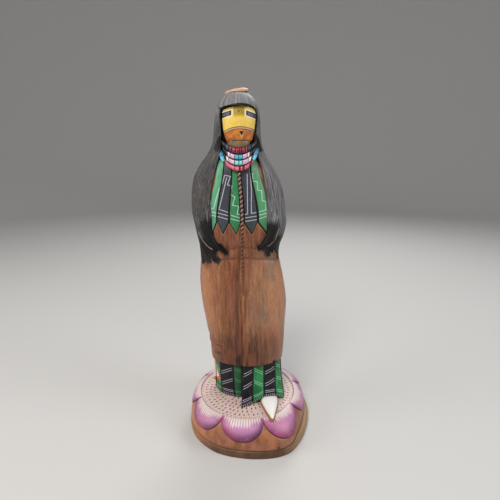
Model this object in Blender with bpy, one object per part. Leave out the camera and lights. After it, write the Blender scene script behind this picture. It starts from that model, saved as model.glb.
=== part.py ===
"""A carved maiden figure standing on a flower mound, with the plate that the mound sits on.

Metres, +Z up, origin at the middle of the plate's underside, the figure facing -Y.
The figure, its hair, mask, necklace, dress, shoe and the flower mound are one carving.
Free forms of the figure are drawn in figure units, which are 1/270 of FIGURE_HEIGHT.
"""
import math

import bmesh
import bpy

# Driving sizes
FIGURE_HEIGHT = 0.2700
MOUND_HEIGHT = 0.0225
MOUND_FOOT = 0.0025
MOUND_FOOT_ROUND = 0.0005
MOUND_INSET = 0.0006
PLATE_THICKNESS = 0.0068
PLATE_RADIUS = 0.0580
PLATE_EDGE_ROUND = 0.0014
PLATE_FOOT_ROUND = 0.0008
SEAT_GAP = 0.0003

# The flower on the mound
DISC_RADIUS = 0.0443
DISC_CENTRE = (-0.0025, 0.0010)
FIGURE_SHIFT = 0.0020
DISC_CROWN = 0.0010
PETAL_RAISE = 0.0007
PETAL_GROOVE = 0.0005
PETAL_TIP_SHARE = 0.93
PETAL_CUSP_SHARE = 0.12
# Directions of the cusps between the petals, in degrees round the disc from +X
PETAL_CUSPS = [-161.0, -116.5, -74.0, -31.0, 13.5, 58.5, 104.0, 151.5]

# How finely the surfaces are faceted
PETAL_COLUMNS = 8
PLATE_STEPS = 72
DRESS_BACK_COLUMNS = 18
HAIR_COLUMNS = 44
HAIR_FRONT_COLUMNS = 12
MASK_COLUMNS = 20

# The plate's outline: direction in degrees from +X, and reach as a share of PLATE_RADIUS
OUTLINE = [
    (-180.0, 1.000), (-164.0, 1.010), (-150.0, 1.018), (-136.0, 1.014), (-117.0, 1.000), (-99.0, 0.982),
    (-82.0, 0.998), (-67.0, 1.032), (-56.0, 1.040), (-39.0, 0.985), (-18.0, 0.945), (8.0, 0.970), (35.0, 1.020),
    (52.0, 1.055), (70.0, 1.025), (90.0, 0.985), (110.0, 1.000), (130.0, 1.060), (146.0, 1.065), (163.0, 1.020),
    (180.0, 1.000),
]
# Where the plate stands out beyond the mound: direction of its middle, half its span, and how far
LEDGE = (-14.0, 48.0, 0.0034)

UNIT = FIGURE_HEIGHT / 270.0
GROUND = PLATE_THICKNESS + SEAT_GAP + MOUND_HEIGHT

# Sections of the dress: height, middle x, half width, middle y, front depth, back depth
DRESS = [
    (37.0, -4.6, 33.2, 2.0, 23.6, 24.0),
    (51.0, -4.9, 34.3, 2.0, 24.6, 25.0),
    (71.0, -6.0, 36.0, 2.0, 26.0, 26.5),
    (91.0, -7.2, 38.0, 2.0, 27.0, 28.0),
    (111.0, -9.2, 37.3, 2.0, 26.8, 28.5),
    (126.0, -10.4, 35.2, 1.6, 25.2, 27.5),
    (136.0, -11.0, 33.3, 1.2, 24.0, 25.5),
    (144.0, -11.0, 32.4, 1.0, 24.0, 24.5),
    (156.0, -10.6, 32.6, 1.0, 25.6, 24.5),
    (167.0, -11.0, 33.0, 1.0, 25.8, 24.5),
    (181.0, -12.0, 32.4, 1.0, 25.0, 24.0),
    (196.0, -13.0, 30.0, 1.0, 24.0, 22.5),
    (207.0, -13.0, 25.0, 0.5, 22.8, 20.0),
    (217.0, -12.6, 17.6, 0.0, 19.5, 16.0),
    (227.0, -11.6, 14.6, -1.0, 15.0, 12.0),
    (236.0, -11.4, 14.0, -1.0, 12.0, 10.0),
]
DRESS_POWER = 2.25
DRESS_TOP = 233.0
HEM = 37.0
BODICE_TOP = 215.0

# Hanging strips of the bodice: x of each column at the points' height and at the neck, height of its lower edge
NOTCH = 166.7
POINT = 156.8
WAIST_RING = POINT - 9.8
# Rings of the skirt, as shares of the way from the hem to the waist
SKIRT_RINGS = [
    0.0, 0.042105, 0.082105, 0.094737, 0.136842, 0.176842, 0.191579, 0.231579,
    0.284211, 0.347368, 0.452632, 0.568421, 0.684211, 0.789474, 0.894737, 0.968421,
]
STRIPS = [
    (-36.0, -27.5, NOTCH),
    (-32.2, -24.6, POINT),
    (-28.4, -22.0, NOTCH),
    (-23.8, -18.8, POINT),
    (-18.6, -15.6, NOTCH),
    (-12.9, -13.4, POINT),
    (-9.5, -12.0, NOTCH),
    (-8.3, -11.0, NOTCH),
    (-7.1, -10.0, NOTCH),
    (-0.6, -6.0, POINT),
    (3.9, -2.3, NOTCH),
    (11.0, 1.5, POINT),
    (15.6, 4.0, NOTCH),
]
SEAM = (6, 7, 8)
STRIP_RAISE = 0.7
STRIP_CREASE = 0.45
SEAM_RAISE = 1.1
OVERLAP_RAISE = 1.3
OVERLAP_START = 108.0
OVERLAP_FULL = 98.0

# Waist creases and skirt folds: height, half height, depth
WAIST_CREASES = [(144.6, 1.8, 0.55), (134.6, 2.2, 0.45)]
SKIRT_FOLDS = [(54.6, 8.0, 1.3), (45.6, 6.0, 1.1)]
FOLD_END_X = -24.0
FOLD_SLOPE = 0.55
FOLD_SPAN = (37.0, 44.0, 58.0, 84.0)

# Under-robe columns: foot x, foot y, foot height, top x, top y
ROBE = [
    (-10.0, -30.0, -0.9, -8.0, -19.6),
    (0.4, -25.0, 1.8, 0.8, -20.2),
    (10.6, -21.6, 5.2, 10.2, -18.8),
    (21.6, -19.6, 5.2, 20.6, -14.6),
    (29.6, -15.4, 0.2, 25.2, -7.0),
    (29.4, -3.0, -0.9, 26.4, 3.0),
    (27.6, 10.0, -0.9, 25.6, 11.0),
    (19.6, 20.0, -0.9, 18.6, 18.4),
    (9.0, 24.4, -0.9, 8.4, 22.2),
    (-3.0, 25.8, -0.9, -3.0, 23.2),
    (-15.4, 24.4, -0.9, -15.0, 22.0),
    (-26.6, 20.0, -0.9, -25.6, 17.6),
    (-34.0, 11.4, -0.9, -32.6, 10.4),
    (-34.2, 1.6, -0.5, -34.0, 0.6),
    (-27.8, -8.6, 0.4, -30.0, -8.6),
    (-15.4, -14.2, 0.6, -17.0, -15.2),
    (-9.4, -14.6, 0.6, -9.0, -16.4),
]
ROBE_TOP = 42.0
ROBE_STRIP_BULGE = 1.0
ROBE_FLARE_POWER = 1.8
ROBE_ROOT = 5.0

# Sections of the hair mass: height, middle x, half width, middle y, front depth, back depth
HAIR = [
    (116.0, -10.0, 37.4, 1.8, 26.8, 29.6),
    (126.0, -10.6, 36.0, 1.5, 26.4, 29.0),
    (136.0, -11.2, 34.6, 1.2, 25.4, 27.8),
    (144.0, -11.0, 35.0, 1.0, 25.9, 27.6),
    (151.0, -10.3, 37.0, 1.0, 27.4, 28.0),
    (161.0, -10.1, 39.1, 1.0, 28.6, 28.6),
    (171.0, -11.3, 39.7, 1.0, 28.8, 29.0),
    (181.0, -12.0, 39.3, 1.0, 28.4, 29.2),
    (191.0, -12.7, 38.0, 1.0, 27.4, 28.6),
    (201.0, -13.5, 35.1, 0.6, 26.2, 27.2),
    (211.0, -13.5, 29.6, 0.0, 24.6, 25.0),
    (219.0, -13.1, 23.8, -0.6, 23.0, 23.2),
    (227.0, -12.4, 20.2, -1.0, 21.8, 22.2),
    (236.0, -12.3, 19.0, -1.0, 21.6, 22.6),
    (246.0, -12.1, 18.2, -1.0, 22.4, 22.8),
    (252.0, -12.1, 17.6, -1.0, 22.8, 22.0),
    (257.0, -12.1, 16.2, -0.6, 21.6, 20.0),
    (261.0, -12.0, 13.8, 0.0, 18.4, 17.0),
    (264.5, -11.9, 10.4, 0.6, 13.6, 13.2),
    (267.2, -11.9, 5.6, 1.0, 7.4, 7.4),
]
HAIR_POWER = 2.3
CROWN = (-11.9, 1.0, 268.2)
BANGS = 254.6
BANGS_SAG = 1.6
HAIR_EDGE_ROUND = 2.2
HAIR_TIP_THIN = 0.955
HAIR_ROOT = 3.0
# The hair's opening: how deep it is at the mask and over the bodice, and where and by how much its sides slope
HAIR_OPENING_DEPTH = (0.15, 0.7)
HAIR_ARMS = (168.0, 200.0)
HAIR_ARM_SLOPE = 6.0
HAIR_LEVELS = [264.5, 261.0, 0.46 * 261.0 + 0.54 * BANGS, BANGS]
FRINGE_THICKNESS = 2.4
ELBOW = 171.0
HAIR_FALL_SHARES = [0.0, 0.065, 0.16, 0.26, 0.36, 0.445, 0.53, 0.63, 0.74, 0.87, 1.0]
HAIR_LOWER_SHARES = [0.25, 0.5, 0.72, 0.88, 1.0]
# Inner edges of the hair beside the face and bodice: height, left x, right x
HAIR_EDGES = [
    (116.0, -28.4, 14.0),
    (138.0, -28.6, 14.0),
    (144.0, -30.6, 14.0),
    (152.0, -33.2, 14.2),
    (161.0, -34.8, 14.6),
    (171.0, -35.6, 15.0),
    (181.0, -35.6, 14.2),
    (191.0, -34.4, 12.8),
    (201.0, -32.0, 11.0),
    (211.0, -29.4, 8.6),
    (219.0, -27.4, 5.4),
    (227.0, -26.4, 3.6),
    (240.0, -26.6, 3.6),
    (256.0, -26.6, 3.6),
]
# Lower ends of the locks: share of the way round from the left inner edge, height
HAIR_ENDS = [
    (0.0, 133.0), (0.03, 130.6), (0.075, 141.0), (0.13, 125.0), (0.2, 131.0), (0.28, 121.0),
    (0.36, 127.0), (0.43, 118.6), (0.5, 123.0), (0.57, 118.6), (0.64, 127.0), (0.72, 121.5),
    (0.8, 131.0), (0.87, 127.0), (0.93, 141.0), (0.97, 138.0), (1.0, 141.0),
]
# Front locks laid over the hair: height, inner x, outer x, from the shoulder to the tip
LEFT_LOCK = [
    (200.0, -36.0, -46.0),
    (189.0, -36.6, -48.5),
    (178.0, -36.6, -49.2),
    (168.0, -36.0, -48.4),
    (160.0, -34.9, -45.0),
    (153.6, -33.0, -40.4),
    (148.6, -30.0, -35.8),
    (145.0, -26.2, -31.4),
    (142.2, -22.4, -26.2),
    (140.4, -20.2, -21.2),
]
RIGHT_LOCK = [
    (200.0, 13.0, 23.0),
    (189.0, 15.4, 26.4),
    (178.0, 16.0, 27.4),
    (168.0, 15.7, 26.6),
    (159.0, 14.4, 24.0),
    (152.6, 12.0, 20.2),
    (148.6, 9.0, 15.8),
    (146.0, 6.2, 10.8),
    (145.0, 4.4, 5.4),
]
LOCK_SUNK = -2.6
LOCK_RAISE = 1.5

# Sections of the mask: height, middle x, half width, middle y, front depth, back depth
MASK = [
    (224.6, -10.8, 7.0, -4.0, 9.4, 6.0),
    (227.2, -10.8, 10.6, -3.0, 14.6, 8.0),
    (230.6, -10.8, 12.9, -2.0, 18.0, 10.0),
    (235.6, -10.8, 14.4, -1.4, 20.0, 11.0),
    (241.6, -10.8, 15.2, -1.0, 20.8, 11.0),
    (248.6, -10.8, 15.6, -1.0, 20.6, 11.0),
    (254.6, -10.8, 15.6, -1.0, 19.6, 11.0),
    (258.6, -10.8, 13.4, -1.0, 17.0, 10.0),
]
MASK_POWER = 2.15
MASK_CHIN = 224.6
MASK_JAW = 230.2
MASK_JAW_STEP = 0.7
MASK_TOP = BANGS + 4.0
CHIN_SHARES = [0.0, 0.25, 0.6, 0.96]
FACE_SHARES = [0.01, 0.1, 0.24, 0.42, 0.6, 0.78, 0.9, 1.0]

# Necklace: lower edge of each arc, its radius and its half turn in degrees, from the chin down
NECKLACE = [
    (225.6, 19.0, 50.0),
    (219.0, 16.5, 57.0),
    (214.7, 15.0, 61.0),
    (210.3, 14.0, 62.0),
    (206.2, 13.0, 62.0),
]
NECKLACE_MIDDLE_X = -10.6
NECKLACE_FRONT = (-20.4, -25.6)
NECKLACE_SIDE_DROP = 7.5
NECKLACE_STEPS = 18
BEAD_RAISE = 0.8
NECKLACE_ROOT = 7.0
# Side blocks of the necklace: x and height of the upper end, then of the lower end, and half width
SIDE_BLOCKS = [(-26.4, 223.0, -23.4, 213.6, 2.1), (5.4, 224.4, 1.8, 214.8, 2.1)]
SIDE_BLOCK_Y = (-15.0, -21.6)

# Head tie across the crown
TIE_HALF_LENGTH = 10.4
TIE_MIDDLE = (-14.2, 0.4, 268.0)
TIE_TILT = math.radians(11.0)
TIE_HALF_DEPTH = 8.0
TIE_HALF_THICKNESS = 2.1
TIE_DROOP = 2.0
TIE_STEPS = 10
TIE_SIDES = 14

# Shoe: distance from the heel, half width and top height
SHOE = [
    (0.0, 5.6, 5.0),
    (8.0, 6.9, 6.6),
    (14.0, 6.3, 6.2),
    (20.0, 4.8, 5.2),
    (26.0, 3.0, 4.2),
    (31.0, 1.5, 3.2),
    (34.5, 0.5, 2.2),
]
SHOE_HEEL = (15.2, -13.8)
SHOE_TURN = math.radians(-3.0)
SHOE_SOLE = 1.5
SHOE_SOLE_MARGIN = 1.3
SHOE_SIDES = 12
SHOE_ROOT = 2.0

# Sash end on the left of the robe: foot, top, width, thickness
SASH_FOOT = (-35.6, 5.6, 5.0)
SASH_TOP = (-35.4, 3.4, 38.5)
SASH_HALF_WIDTH = 5.4
SASH_HALF_THICKNESS = 1.3
SASH_POINT = 3.0


def lerp(a, b, t):
    return a + (b - a) * t


def smooth(t):
    t = min(1.0, max(0.0, t))
    return t * t * (3.0 - 2.0 * t)


def along(rows, height):
    """The row at a height, by a smooth curve through rows that rise with their first number."""
    if height <= rows[0][0]:
        return rows[0][1:]
    if height >= rows[-1][0]:
        return rows[-1][1:]
    i = max(k for k in range(len(rows) - 1) if rows[k][0] <= height)
    span = rows[i + 1][0] - rows[i][0]
    t = (height - rows[i][0]) / span
    found = []
    for c in range(1, len(rows[0])):
        here, there = rows[i][c], rows[i + 1][c]
        slope_here = slope_there = (there - here) / span
        if i > 0:
            slope_here = (there - rows[i - 1][c]) / (rows[i + 1][0] - rows[i - 1][0])
        if i + 2 < len(rows):
            slope_there = (rows[i + 2][c] - here) / (rows[i + 2][0] - rows[i][0])
        t2, t3 = t * t, t * t * t
        found.append(
            (2 * t3 - 3 * t2 + 1) * here
            + (t3 - 2 * t2 + t) * span * slope_here
            + (3 * t2 - 2 * t3) * there
            + (t3 - t2) * span * slope_there
        )
    return tuple(found)


def broken_line(points, at):
    """Straight runs through (position, value) points."""
    for (a, first), (b, second) in zip(points, points[1:]):
        if at <= b:
            return lerp(first, second, max(0.0, (at - a) / (b - a)))
    return points[-1][1]


def section_point(row, angle, power, out=0.0):
    """A point of an oval section. Angle 0 is the figure's -X side, 90 degrees its front and 270 its back."""
    middle_x, half, middle_y, front, back = row
    c, s = math.cos(angle), math.sin(angle)
    depth = front if s > 0 else back
    x = middle_x - math.copysign(abs(c) ** (2.0 / power), c) * (half + out)
    y = middle_y - math.copysign(abs(s) ** (2.0 / power), s) * (depth + out)
    return x, y


def front_angle(row, x, power):
    """The angle at which the section's front has this x."""
    share = min(1.0, max(-1.0, (row[0] - x) / row[1]))
    return math.acos(math.copysign(abs(share) ** (power / 2.0), share))


def placed(x, y, height):
    """From figure units above the disc to metres."""
    return FIGURE_SHIFT + x * UNIT, y * UNIT, GROUND + height * UNIT


def mesh_object(name, rings, low=None, high=None):
    """A closed solid through rings of equal length, with an end point, or a flat end, at each end."""
    bm = bmesh.new()
    made = [[bm.verts.new(p) for p in ring] for ring in rings]
    count = len(made[0])
    for below, above in zip(made, made[1:]):
        for i in range(count):
            j = (i + 1) % count
            bm.faces.new((below[i], below[j], above[j], above[i]))
    for ring, end, upward in ((made[0], low, False), (made[-1], high, True)):
        if end is None:
            bm.faces.new(ring if upward else ring[::-1])
            continue
        tip = bm.verts.new(end)
        for i in range(count):
            j = (i + 1) % count
            bm.faces.new((ring[i], ring[j], tip) if upward else (ring[j], ring[i], tip))
    bmesh.ops.recalc_face_normals(bm, faces=bm.faces)
    if bm.calc_volume(signed=True) < 0:
        bmesh.ops.reverse_faces(bm, faces=bm.faces)
    mesh = bpy.data.meshes.new(name)
    bm.to_mesh(mesh)
    bm.free()
    obj = bpy.data.objects.new(name, mesh)
    bpy.context.scene.collection.objects.link(obj)
    return obj


def round_disc(angle, radius, z):
    """A point round the middle of the mound's disc."""
    return DISC_CENTRE[0] + radius * math.cos(angle), DISC_CENTRE[1] + radius * math.sin(angle), z


def middle_of(ring):
    return tuple(sum(p[k] for p in ring) / len(ring) for k in range(3))


def wood(name, colour, roughness):
    material = bpy.data.materials.new(name)
    material.use_nodes = True
    shader = material.node_tree.nodes["Principled BSDF"]
    shader.inputs["Base Color"].default_value = (*colour, 1.0)
    shader.inputs["Roughness"].default_value = roughness
    shader.inputs["Metallic"].default_value = 0.0
    return material


def outline_reach(angle):
    return PLATE_RADIUS * along(OUTLINE, math.degrees(math.atan2(math.sin(angle), math.cos(angle))))[0]


def outline_middle():
    """The middle of the box round the plate's outline."""
    angles = [2 * math.pi * i / 720 for i in range(720)]
    xs = [outline_reach(a) * math.cos(a) for a in angles]
    ys = [outline_reach(a) * math.sin(a) for a in angles]
    return (min(xs) + max(xs)) / 2, (min(ys) + max(ys)) / 2


def mound_reach(angle):
    """How far the mound reaches from the plate's middle, less than the plate where the plate leaves a ledge."""
    middle, half, wide = LEDGE
    away = (math.degrees(angle) - middle + 180.0) % 360.0 - 180.0
    ledge = wide * smooth(1.6 * (1.0 - abs(away) / half))
    return outline_reach(angle) - MOUND_INSET - ledge


def mound_reach_from_disc(angle, middle):
    """How far the mound reaches from the disc's centre, found by halving."""
    low, high = 0.0, 2.0 * PLATE_RADIUS
    for _ in range(30):
        reach = (low + high) / 2
        x = DISC_CENTRE[0] + reach * math.cos(angle) + middle[0]
        y = DISC_CENTRE[1] + reach * math.sin(angle) + middle[1]
        inside = math.hypot(x, y) < mound_reach(math.atan2(y, x))
        low, high = (reach, high) if inside else (low, reach)
    return low


def base_plate():
    """The flat plate under the mound, with softened edges."""
    middle = outline_middle()
    levels = [
        (0.0, PLATE_FOOT_ROUND),
        (PLATE_FOOT_ROUND, 0.0),
        (PLATE_THICKNESS - PLATE_EDGE_ROUND, 0.0),
        (PLATE_THICKNESS - 0.3 * PLATE_EDGE_ROUND, 0.3 * PLATE_EDGE_ROUND),
        (PLATE_THICKNESS, PLATE_EDGE_ROUND),
    ]
    rings = []
    for z, inset in levels:
        ring = []
        for i in range(PLATE_STEPS):
            angle = 2 * math.pi * i / PLATE_STEPS
            reach = outline_reach(angle) - inset
            ring.append((reach * math.cos(angle) - middle[0], reach * math.sin(angle) - middle[1], z))
        rings.append(ring)
    return mesh_object("base_plate", rings)


def petal_edge(across):
    """How far down the mound's shoulder a petal reaches, as a share."""
    lobe = (1.0 - min(1.0, abs(across)) ** 2.6) ** (1.0 / 2.2)
    return lerp(PETAL_CUSP_SHARE, PETAL_TIP_SHARE, lobe)


def mound():
    """The flower mound: a low crowned disc, petals bent over the shoulder, and a steep foot."""
    foot = PLATE_THICKNESS + SEAT_GAP
    shoulder = foot + MOUND_FOOT
    rim_height = GROUND - DISC_CROWN
    middle = outline_middle()
    columns = []
    for k, start in enumerate(PETAL_CUSPS):
        end = PETAL_CUSPS[k + 1] if k + 1 < len(PETAL_CUSPS) else PETAL_CUSPS[0] + 360.0
        for i in range(PETAL_COLUMNS):
            across = math.sin(math.pi * (i / PETAL_COLUMNS - 0.5))
            angle = math.radians(lerp(start, end, 0.5 + across / 2))
            columns.append((angle, across, mound_reach_from_disc(angle, middle)))

    def point(column, share, raised):
        angle, _, reach = column
        bend = 1.0 - (1.0 - share) ** 1.15
        lean = bend * math.pi / 2
        radius = DISC_RADIUS + bend * (reach - DISC_RADIUS) + raised * math.sin(lean)
        z = shoulder + (rim_height - shoulder) * math.sqrt(max(0.0, 1.0 - bend * bend))
        return round_disc(angle, radius, z + raised * math.cos(lean))

    def edge(column):
        return petal_edge(column[1])

    rings = []
    for z, inset in ((foot, MOUND_FOOT_ROUND), (shoulder, 0.0)):
        rings.append([round_disc(angle, reach - inset, z) for angle, _, reach in columns])
    rings.append([point(c, lerp(1.0, edge(c) + 0.05, 0.5), 0.0) for c in columns])
    rings.append([point(c, edge(c) + 0.045, 0.0) for c in columns])
    rings.append([point(c, edge(c) + 0.02, -PETAL_GROOVE) for c in columns])
    rings.append([point(c, edge(c), 0.6 * PETAL_RAISE) for c in columns])
    for share in (0.8, 0.5, 0.2):
        rings.append([point(c, edge(c) * share, PETAL_RAISE) for c in columns])
    rings.append([point(c, 0.012, -0.4 * PETAL_GROOVE) for c in columns])
    for share in (0.985, 0.9, 0.6, 0.3):
        z = rim_height + DISC_CROWN * (1.0 - share * share)
        rings.append([round_disc(angle, DISC_RADIUS * share, z) for angle, _, _ in columns])
    return mesh_object("mound", rings, high=(*DISC_CENTRE, rim_height + DISC_CROWN))


def dress_angles(height):
    """The dress's columns at a height: the left side, the strips and seam, the right side and the back."""
    row = along(DRESS, height)
    rise = smooth((height - NOTCH) / (BODICE_TOP - NOTCH))
    front = [front_angle(row, lerp(low, high, rise), DRESS_POWER) for low, high, _ in STRIPS]
    left = [front[0] * i / 3 for i in range(3)]
    right = [lerp(front[-1], math.pi, i / 3) for i in range(1, 4)]
    back = [math.pi + math.pi * i / DRESS_BACK_COLUMNS for i in range(1, DRESS_BACK_COLUMNS)]
    return left + front + right + back


def fold_rise(level, x):
    """How far a row of the skirt is bent up at this x, so that it runs along the folds."""
    start, full, hold, end = FOLD_SPAN
    share = smooth((level - start) / (full - start)) * (1.0 - smooth((level - hold) / (end - hold)))
    return share * FOLD_SLOPE * max(0.0, FOLD_END_X - x)


def dress_relief(height, level, column, x, in_front):
    """How far the dress stands out of its plain section: seam, overlap, waist creases and skirt folds."""
    first = 3
    seam = [first + k for k in SEAM]
    out = 0.0
    over = 1.0 - smooth((height - OVERLAP_FULL) / (OVERLAP_START - OVERLAP_FULL))
    if in_front:
        if column == seam[1]:
            out += SEAM_RAISE * (1.0 - over) * (1.0 - smooth((height - BODICE_TOP) / 6.0))
        if column >= seam[1] and height < OVERLAP_START:
            out += OVERLAP_RAISE * over * smooth((24.0 - x) / 30.0)
        if column == seam[0]:
            out -= 0.5 * over
        for middle, half, depth in WAIST_CREASES:
            near = (height - middle + 0.08 * abs(x + 8.3)) / half
            out -= depth * math.exp(-near * near)
    if x < FOLD_END_X:
        for middle, half, depth in SKIRT_FOLDS:
            below = (middle - level) / half
            if 0.0 <= below < 1.0:
                out -= depth * (1.0 - below) * smooth((FOLD_END_X - x) / 6.0)
    return out


def dress():
    """Skirt with its overlapping edge, waist, and bodice with the hanging strips standing proud."""
    waist = [WAIST_RING - drop for drop in (15.0, 12.4, 10.0, 6.5, 4.0, 2.2, 0.0)]
    skirt = [lerp(HEM, waist[0], share) for share in SKIRT_RINGS]
    first, last = 3, 3 + len(STRIPS) - 1
    count = len(dress_angles(HEM))

    def lower_edge(column):
        if first <= column <= last:
            return STRIPS[column - first][2]
        return NOTCH

    def ring_at(heights, raise_strips):
        ring = []
        for column, level in enumerate(heights):
            angle = dress_angles(level)[column]
            x, _ = section_point(along(DRESS, level), angle, DRESS_POWER)
            height = level + fold_rise(level, x)
            row = along(DRESS, height)
            out = dress_relief(height, level, column, x, angle <= math.pi)
            if raise_strips:
                out += STRIP_RAISE
                boundary = first <= column <= last and lower_edge(column) == NOTCH
                if boundary and column != first + SEAM[1]:
                    out -= STRIP_CREASE
            x, y = section_point(row, angle, DRESS_POWER, out)
            ring.append(placed(x, y, height))
        return ring

    rings = [ring_at([height] * count, False) for height in skirt + waist]
    edges = [lower_edge(column) for column in range(count)]
    rings.append(ring_at([lerp(WAIST_RING, e, 0.5) for e in edges], False))
    rings.append(ring_at([e - 0.25 for e in edges], False))
    rings.append(ring_at(edges, True))
    for share in (0.2, 0.45, 0.7, 1.0):
        rings.append(ring_at([lerp(e, BODICE_TOP, share) for e in edges], True))
    for height in (221.0, 227.0, DRESS_TOP):
        rings.append(ring_at([height] * count, False))
    return mesh_object("dress", rings, low=placed(-4.6, 2.0, HEM), high=placed(-12.0, -1.0, DRESS_TOP))


def robe():
    """The striped under-robe, its right panel standing in front of the left one at the seam."""
    columns = []
    for i, start in enumerate(ROBE):
        end = ROBE[(i + 1) % len(ROBE)]
        at_seam = i == len(ROBE) - 1
        for share in ((0.0,) if at_seam else (0.0, 0.5)):
            columns.append([lerp(a, b, share) for a, b in zip(start, end)] + [share])
    rings = []
    for level in (0.0, 0.08, 0.3, 0.6, 1.0):
        ring = []
        for foot_x, foot_y, foot_z, top_x, top_y, share in columns:
            t = 1.0 - (1.0 - level) ** ROBE_FLARE_POWER
            x, y = lerp(foot_x, top_x, t), lerp(foot_y, top_y, t)
            away = math.hypot(x + 3.0, y - 2.0)
            bulge = ROBE_STRIP_BULGE if share else 0.0
            x += bulge * (x + 3.0) / away
            y += bulge * (y - 2.0) / away
            ring.append(placed(x, y, lerp(foot_z, ROBE_TOP, level)))
        rings.append(ring)
    return mesh_object("robe", rings, low=placed(-3.0, 2.0, -ROBE_ROOT), high=placed(-3.0, 2.0, ROBE_TOP))


def hair():
    """Helmet of hair with a fringe, open over the mask and bodice, falling to pointed locks."""
    def ring_of(heights, fringe, thin):
        ring = []
        for i, height in enumerate(heights):
            row = along(HAIR, height)
            left_x, right_x = along(HAIR_EDGES, height)
            left = front_angle(row, left_x, HAIR_POWER)
            right = front_angle(row, right_x, HAIR_POWER)
            share = i / (HAIR_COLUMNS - 1)
            angle = lerp(left, right - 2 * math.pi, share)
            near = min(share, 1.0 - share) * (HAIR_COLUMNS - 1)
            out = 0.0 if fringe or near >= 1.5 else -HAIR_EDGE_ROUND * (0.5 if near >= 0.5 else 1.0)
            x, y = section_point(row, angle, HAIR_POWER, out)
            ring.append((lerp(row[0], x, thin), lerp(row[2], y, thin), height))
        height = max(heights[0], heights[-1]) - (HAIR_ROOT if thin < 0.9 else 0.0)
        row = along(HAIR, height)
        left_x, right_x = along(HAIR_EDGES, height)
        for i in range(1, HAIR_FRONT_COLUMNS + 1):
            share = i / (HAIR_FRONT_COLUMNS + 1)
            if fringe:
                start = front_angle(row, right_x, HAIR_POWER)
                end = front_angle(row, left_x, HAIR_POWER)
                angle = lerp(start, end, share)
                x, y = section_point(row, angle, HAIR_POWER)
            else:
                low = 1.0 - smooth((height - HAIR_ARMS[0]) / (HAIR_ARMS[1] - HAIR_ARMS[0]))
                x = lerp(right_x - HAIR_ARM_SLOPE * low, left_x + HAIR_ARM_SLOPE * low, share)
                y = row[2] - lerp(*HAIR_OPENING_DEPTH, low) * row[3]
                x, y = lerp(row[0], x, thin), lerp(row[2], y, thin)
            sag = BANGS_SAG * (abs(share - 0.5) * 2) ** 2 if height == BANGS else 0.0
            ring.append((x, y, height - sag))
        return [placed(*p) for p in ring]

    rings = []
    for height in HAIR_LEVELS:
        rings.append(ring_of([height] * HAIR_COLUMNS, True, 1.0))
    for share in HAIR_FALL_SHARES:
        rings.append(ring_of([lerp(BANGS - FRINGE_THICKNESS, ELBOW, share)] * HAIR_COLUMNS, False, 1.0))
    for level in HAIR_LOWER_SHARES:
        ends = [broken_line(HAIR_ENDS, i / (HAIR_COLUMNS - 1)) for i in range(HAIR_COLUMNS)]
        heights = [lerp(ELBOW, end, level) for end in ends]
        rings.append(ring_of(heights, False, lerp(1.0, HAIR_TIP_THIN, level ** 6)))
    rings.append(ring_of([h + 0.4 for h in heights], False, 0.8))
    rings.reverse()
    return mesh_object("hair", rings, low=placed(-10.5, 1.0, 134.0), high=placed(*CROWN))


def lock(name, stations):
    """A pointed lock laid on the hair: a strip that follows its surface, raised, and rooted inside it."""
    rings = []
    across = 5
    for k, (height, inner, outer) in enumerate(stations):
        row = along(HAIR, height)
        first = front_angle(row, inner, HAIR_POWER)
        second = front_angle(row, outer, HAIR_POWER)
        t = k / (len(stations) - 1)
        body = smooth(t * 1.7)
        outer_face, inner_face = [], []
        for i in range(across):
            share = i / (across - 1)
            angle = lerp(first, second, share)
            crown = math.sqrt(max(0.0, 1.0 - (2 * share - 1) ** 2))
            lift = lerp(LOCK_SUNK, LOCK_RAISE * lerp(1.0, 0.7, t), body) + 1.2 * (crown - 1.0)
            x, y = section_point(row, angle, HAIR_POWER, lift)
            outer_face.append(placed(x, y, height))
            x, y = section_point(row, angle, HAIR_POWER, LOCK_SUNK - 5.0)
            inner_face.append(placed(x, y, height))
        rings.append(outer_face + inner_face[::-1])
    ends = [middle_of([ring[across // 2], ring[across + across // 2]]) for ring in (rings[0], rings[-1])]
    return mesh_object(name, rings, low=ends[0], high=ends[1])


def mask():
    """The case mask: a rounded face with an undercut jaw."""
    heights = [lerp(MASK_CHIN, MASK_JAW, share) for share in CHIN_SHARES]
    heights += [lerp(MASK_JAW, MASK_TOP, share) for share in FACE_SHARES]
    rings = []
    for height in heights:
        row = along(MASK, height)
        out = -MASK_JAW_STEP if height < MASK_JAW else 0.0
        ring = []
        for i in range(MASK_COLUMNS):
            angle = 2 * math.pi * i / MASK_COLUMNS
            x, y = section_point(row, angle, MASK_POWER, out)
            arch = 1.6 * ((x - row[0]) / row[1]) ** 2 if angle < math.pi else 0.0
            ring.append(placed(x, y, height - arch))
        rings.append(ring)
    return mesh_object("mask", rings, low=middle_of(rings[0]), high=middle_of(rings[-1]))


def necklace_place(turn, down):
    """A point of the necklace: turn runs -1 to 1 along it, down 0 to 1 from the chin to its lower edge."""
    row = min(len(NECKLACE) - 2, int(down * (len(NECKLACE) - 1)))
    part = down * (len(NECKLACE) - 1) - row
    low, radius, half_turn = (lerp(a, b, part) for a, b in zip(NECKLACE[row], NECKLACE[row + 1]))
    angle = math.radians(half_turn) * turn
    x = NECKLACE_MIDDLE_X + radius * math.sin(angle)
    y = lerp(*NECKLACE_FRONT, down) + NECKLACE_SIDE_DROP * turn * turn
    return x, y, low + radius * (1.0 - math.cos(angle))


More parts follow.
